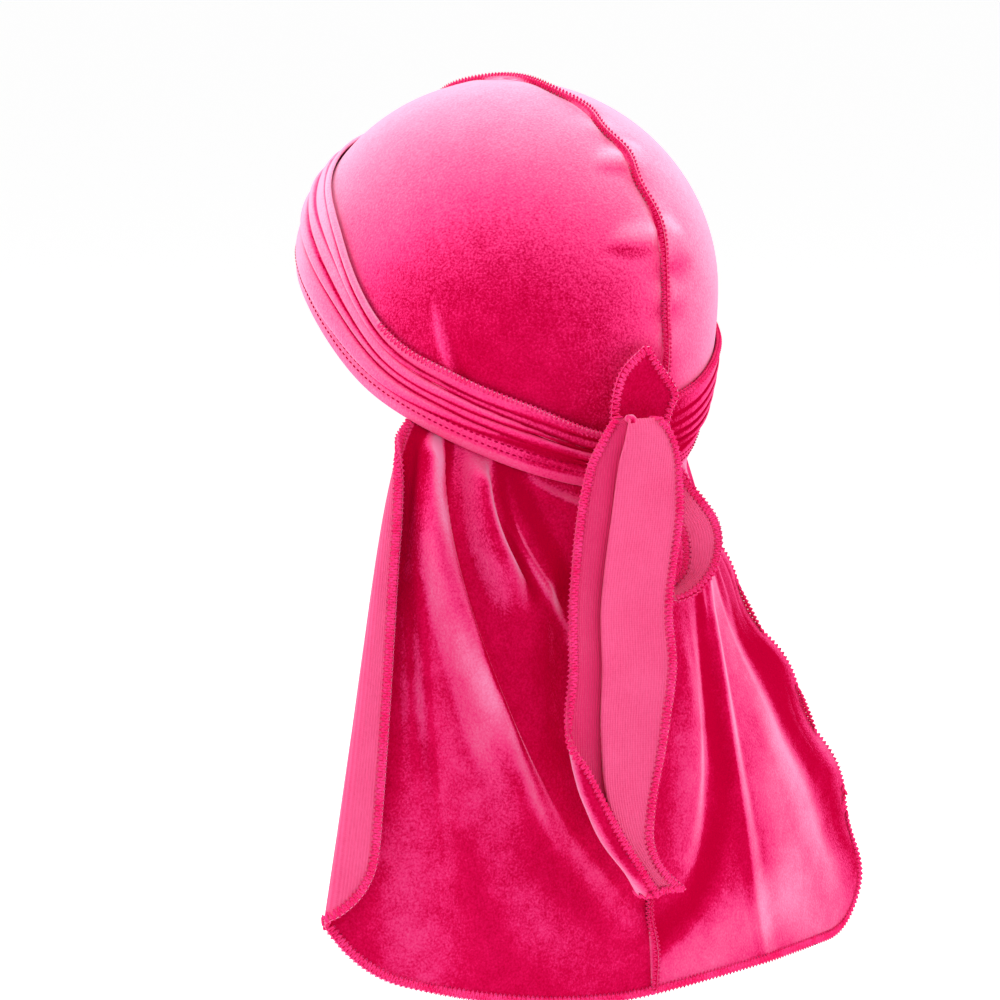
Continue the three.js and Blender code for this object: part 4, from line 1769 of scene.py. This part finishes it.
LONG_END_ROWS = (
    (18, 103.6, -50, 8, 14, 0, 0),
    (21, 104.6, -45.5, 7.5, 16, 0, 0),
    (22.4, 107.4, -43.8, 8.5, 18, -0.5, 0),
    (23.6, 110, -46.8, 11.8, 20, -1.5, 0),
    (25.2, 111.8, -53, 15.6, 20, -2, 0),
    (26.8, 112, -62, 19, 20, -2, 0),
    (27, 109.4, -82, 21, 20, -1, 0),
    (27.4, 105.8, -103, 21.2, 20, 0.5, 0),
    (28, 104, -122, 21, 20, 1.5, 0),
    (26, 103, -144, 21.6, 20, 2, 0),
    (27.5, 103, -166, 19.7, 20, 2, 3),
    (28, 103.5, -189, 16.4, 18, 2.5, 11),
    (26.3, 104, -203, 12.4, 16, 2, 13),
    (23.2, 105, -215, 8.6, 15, 1, 13),
    (15.4, 106, -227.5, 7.2, 14, 0.5, 12),
    (5.7, 107, -238.5, 8.3, 14, 0, 12),
)
SHORT_END_ROWS = (
    (15.2, 100, -48.5, 12.5, 10, 1, 0),
    (14.8, 100.2, -43, 13.6, 10, 1, 0),
    (13.4, 100.7, -36.7, 14.7, 10, 1.2, 0),
    (14.8, 101.1, -29.7, 11.9, 10, 1, 0),
    (15.3, 101.3, -23.7, 7.7, 10, 0.5, 0),
    (13.4, 101.2, -18.7, 2.8, 10, 0, 0),
    (12.6, 101, -17, 1.2, 10, 0, 0),
)


@dataclass
class TieLoop:
    """Loop of strap beside the knot.

    Rows hold x, y, z, half width, tilt of the width upwards and its turn towards the right.
    """

    wall: float
    steps: int = 90
    across: int = 22
    rows: tuple[tuple[float, ...], ...] = (
        (-2, 101, -68, 5, 10, 10),
        (-4.5, 102, -75, 6, 15, 20),
        (-10, 102, -83, 7, 20, 30),
        (-16, 101.5, -91.5, 7.5, 20, 38),
        (-19, 100.5, -101, 7.5, 15, 38),
        (-18, 99.5, -110, 7, 8, 30),
        (-13, 98.5, -116.5, 6.5, 0, 15),
        (-7.5, 98.2, -119.5, 6, 0, 5),
        (-2.8, 98.5, -120.5, 5, 0, 0),
    )

    def build(self, wardrobe: Wardrobe) -> Piece:
        """Makes the loop: a strip carried along its middle line, its width front to back.

        Args:
            wardrobe: the materials.

        Returns:
            The piece.
        """
        t = np.linspace(0, 1, self.steps)
        x, y, z, half, tilt, turn = (c[:, None] for c in through(np.array(self.rows, float), t).T)
        q = half * np.linspace(-1, 1, self.across)[None, :]
        rise, level = q * np.sin(np.radians(tilt)), q * np.cos(np.radians(tilt))
        turn = np.radians(turn)
        points = np.stack([x - level * np.sin(turn), y + level * np.cos(turn), z + rise], axis=-1)
        length = along_line(np.concatenate([x, y, z], axis=1))[:, None]
        uv = np.stack(np.broadcast_arrays(q * MM, length * MM), axis=-1)
        cloth = cloth_from_grid(points, uv, self.wall)
        piece = enrol(cloth.piece("tie_loop_cloth", wardrobe.strap_out()), "tie_loop")
        index, stitch = numbered(self.steps, self.across), Overlock(reach=2.2)
        edges = ((0, 2), (-1, -3))
        parts = [cloth.overlock(index[:, edge], index[:, inner], stitch) for edge, inner in edges]
        hem = sewing_piece("tie_loop_overlock", parts, wardrobe.thread)
        return piece


@dataclass
class Knot:
    """Tied lump of strap: a flattened ball creased where the straps cross it."""

    middle: Triple = (14.0, 99.5, -61.0)
    half: Triple = (14.5, 8.5, 10.5)
    crease: float = 0.1
    wraps: int = 5
    around: int = 72
    along: int = 40

    def build(self, wardrobe: Wardrobe) -> Piece:
        """Makes the knot: radius over longitude and latitude about X, with waves for the wraps.

        Args:
            wardrobe: the materials.

        Returns:
            The piece.
        """
        turn = np.arange(self.around) * (2 * np.pi / self.around)
        lat = np.linspace(0, np.pi, self.along + 2)[1:-1, None]
        x, ring = np.cos(lat) + 0 * turn, np.sin(lat) + 0 * turn
        full = 1 + self.crease
        crease = 1 - self.crease * np.cos(self.wraps * turn + 2 * x)
        radius = blend(1.0, crease, 1 - x * x) / full
        unit_points = np.stack([x, ring * np.cos(turn), ring * np.sin(turn)], axis=-1) * radius[..., None]
        poles = np.array([[1.0, 0, 0], [-1.0, 0, 0]]) / full
        points = np.vstack([unit_points.reshape(-1, 3), poles]) * np.array(self.half) + np.array(self.middle)
        index = numbered(self.along, self.around)
        closed = np.concatenate([index, index[:, :1]], axis=1)
        first, last = index.size, index.size + 1
        ahead, behind = closed[0], closed[-1]
        start = np.stack([np.full(self.around, first), ahead[:-1], ahead[1:]], axis=1)
        end = np.stack([np.full(self.around, last), behind[1:], behind[:-1]], axis=1)
        groups = [(grid_faces(closed)[:, ::-1], 0), (start, 0), (end, 0)]
        piece = mesh_object("knot_cloth", points, groups, points[:, :2] * MM, [wardrobe.strap])
        return enrol(piece, "knot")


# Studio


@dataclass(frozen=True)
class Softbox:
    """A square lamp: where it hangs, its width and its power. It looks at the part."""

    name: str
    place: Triple
    width: float
    power: float

    def hang(self, target: Vector) -> None:
        """Makes the lamp.

        Args:
            target: where it looks.
        """
        data = bpy.data.lights.new(self.name, "AREA")
        data.shape = "SQUARE"
        data.size = self.width
        data.energy = self.power
        lamp = bpy.data.objects.new(self.name, data)
        lamp.location = self.place
        lamp.rotation_mode = "QUATERNION"
        lamp.rotation_quaternion = (target - Vector(self.place)).to_track_quat("-Z", "Y")
        bpy.context.scene.collection.objects.link(lamp)


@dataclass
class Studio:
    """Camera, pale floor and soft light.

    Attributes:
        azimuth, elevation: heading of the camera round the part and above the horizon, in degrees.
        distance: from the origin, in millimetres.
        pixels_per_mm: picture scale at the origin.
        origin_at: where the origin lands in the picture.
        image: side of the picture in pixels.
        floor_level, floor_reach: of the floor, in metres.
        surround: strength of the white surroundings.
        aim: where the lamps look.
    """

    azimuth: float = 140.0
    elevation: float = 9.0
    distance: float = 1600.0
    pixels_per_mm: float = 2.4
    origin_at: Pair = (507.0, 283.0)
    image: float = 1000.0
    floor_level: float = -0.42
    floor_reach: float = 40.0
    surround: float = 0.5
    aim: Triple = (0.0, 0.0, -0.08)
    lamps: tuple[Softbox, ...] = (
        Softbox("overhead", (0.0, 0.1, 1.4), 1.3, 16.0),
        Softbox("side_left", (1.3, -0.8, 0.35), 1.1, 10.0),
        Softbox("side_right", (-1.3, 0.9, 0.3), 1.1, 8.0),
        Softbox("fill", (1.0, 1.3, 0.9), 0.8, 5.0),
    )

    def camera(self) -> None:
        """Camera that looks along its heading, moved sideways so that the origin lands in its place."""
        a, e = math.radians(self.azimuth), math.radians(self.elevation)
        back = Vector((math.sin(a) * math.cos(e), -math.cos(a) * math.cos(e), math.sin(e)))
        right = (-back).cross(Vector((0, 0, 1))).normalized()
        up = right.cross(-back)
        aside = (self.origin_at[0] - self.image / 2) / self.pixels_per_mm
        rise = (self.image / 2 - self.origin_at[1]) / self.pixels_per_mm
        data = bpy.data.cameras.new("camera")
        data.sensor_width = 36.0
        data.lens = self.pixels_per_mm * self.distance / self.image * data.sensor_width
        data.clip_end = 100.0
        camera = bpy.data.objects.new("camera", data)
        camera.location = (back * self.distance - right * aside - up * rise) * MM
        camera.rotation_mode = "QUATERNION"
        camera.rotation_quaternion = (-back).to_track_quat("-Z", "Y")
        bpy.context.scene.collection.objects.link(camera)
        bpy.context.scene.camera = camera

    def floor(self) -> None:
        """Wide pale floor below the part."""
        reach, z = self.floor_reach / MM, self.floor_level / MM
        corners = np.array([[-reach, -reach, z], [reach, -reach, z], [reach, reach, z], [-reach, reach, z]])
        faces = [(np.array([[0, 1, 2, 3]]), 0)]
        plane = mesh_object("floor", corners, faces, corners[:, :2] * MM, [FloorFinish().material()])

    def light(self) -> None:
        """White surroundings and the lamps."""
        scene = bpy.context.scene
        scene.view_settings.view_transform = "Standard"
        world = bpy.data.worlds.new("studio")
        world.use_nodes = True
        shade = world.node_tree.nodes["Background"]
        shade.inputs["Color"].default_value = (1.0, 1.0, 1.0, 1.0)
        shade.inputs["Strength"].default_value = self.surround
        scene.world = world
        for lamp in self.lamps:
            lamp.hang(Vector(self.aim))

    def build(self) -> None:
        """Sets up the studio."""
        self.camera()
        self.floor()
        self.light()


def main() -> None:
    """Loads the part and makes each piece, logging the faces of each."""
    logging.basicConfig(level=logging.INFO, format="%(name)s %(message)s")
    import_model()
    Studio().build()
    wardrobe = Wardrobe()
    form = HeadForm()
    left = Tail(
        Side.LEFT,
        form,
        LEFT_FOLDS,
        LEFT_STROKES,
        hem_half=164.0,
        hem_side_z=-243.0,
        corner_rise=46.0,
        flare=0.9,
        puff=4.0,
    )
    right = Tail(
        Side.RIGHT,
        form,
        RIGHT_FOLDS,
        RIGHT_STROKES,
        hem_half=178.0,
        hem_side_z=-290.0,
        corner_rise=62.0,
        flare=1.06,
        puff=0.0,
        swing=EDGE_SWING,
        ripple=1.8,
    )
    seam = RaisedSeam(form)
    Panel(left, LEFT_DRAGS).build(wardrobe)
    Panel(right, RIGHT_DRAGS).build(wardrobe)
    HeadWrap(form).build(wardrobe)
    seam.build_crown(wardrobe)
    seam.build_tail(left, wardrobe)
    Knot().build(wardrobe)
    TieEnd(
        "long_tie_end",
        LONG_END_ROWS,
        form.wall,
        Slot.BACK,
        steps=200,
        across=76,
        flat=(0.042, 0.215),
        roll=2.6,
        pleat=3.0,
        wave=0.8,
    ).build(wardrobe)
    TieEnd(
        "short_tie_end",
        SHORT_END_ROWS,
        form.wall,
        Slot.VELVET,
        steps=44,
        across=30,
        flat=(0.026, 0.033),
    ).build(wardrobe)
    TieLoop(form.wall).build(wardrobe)


if __name__ == "__main__":
    main()
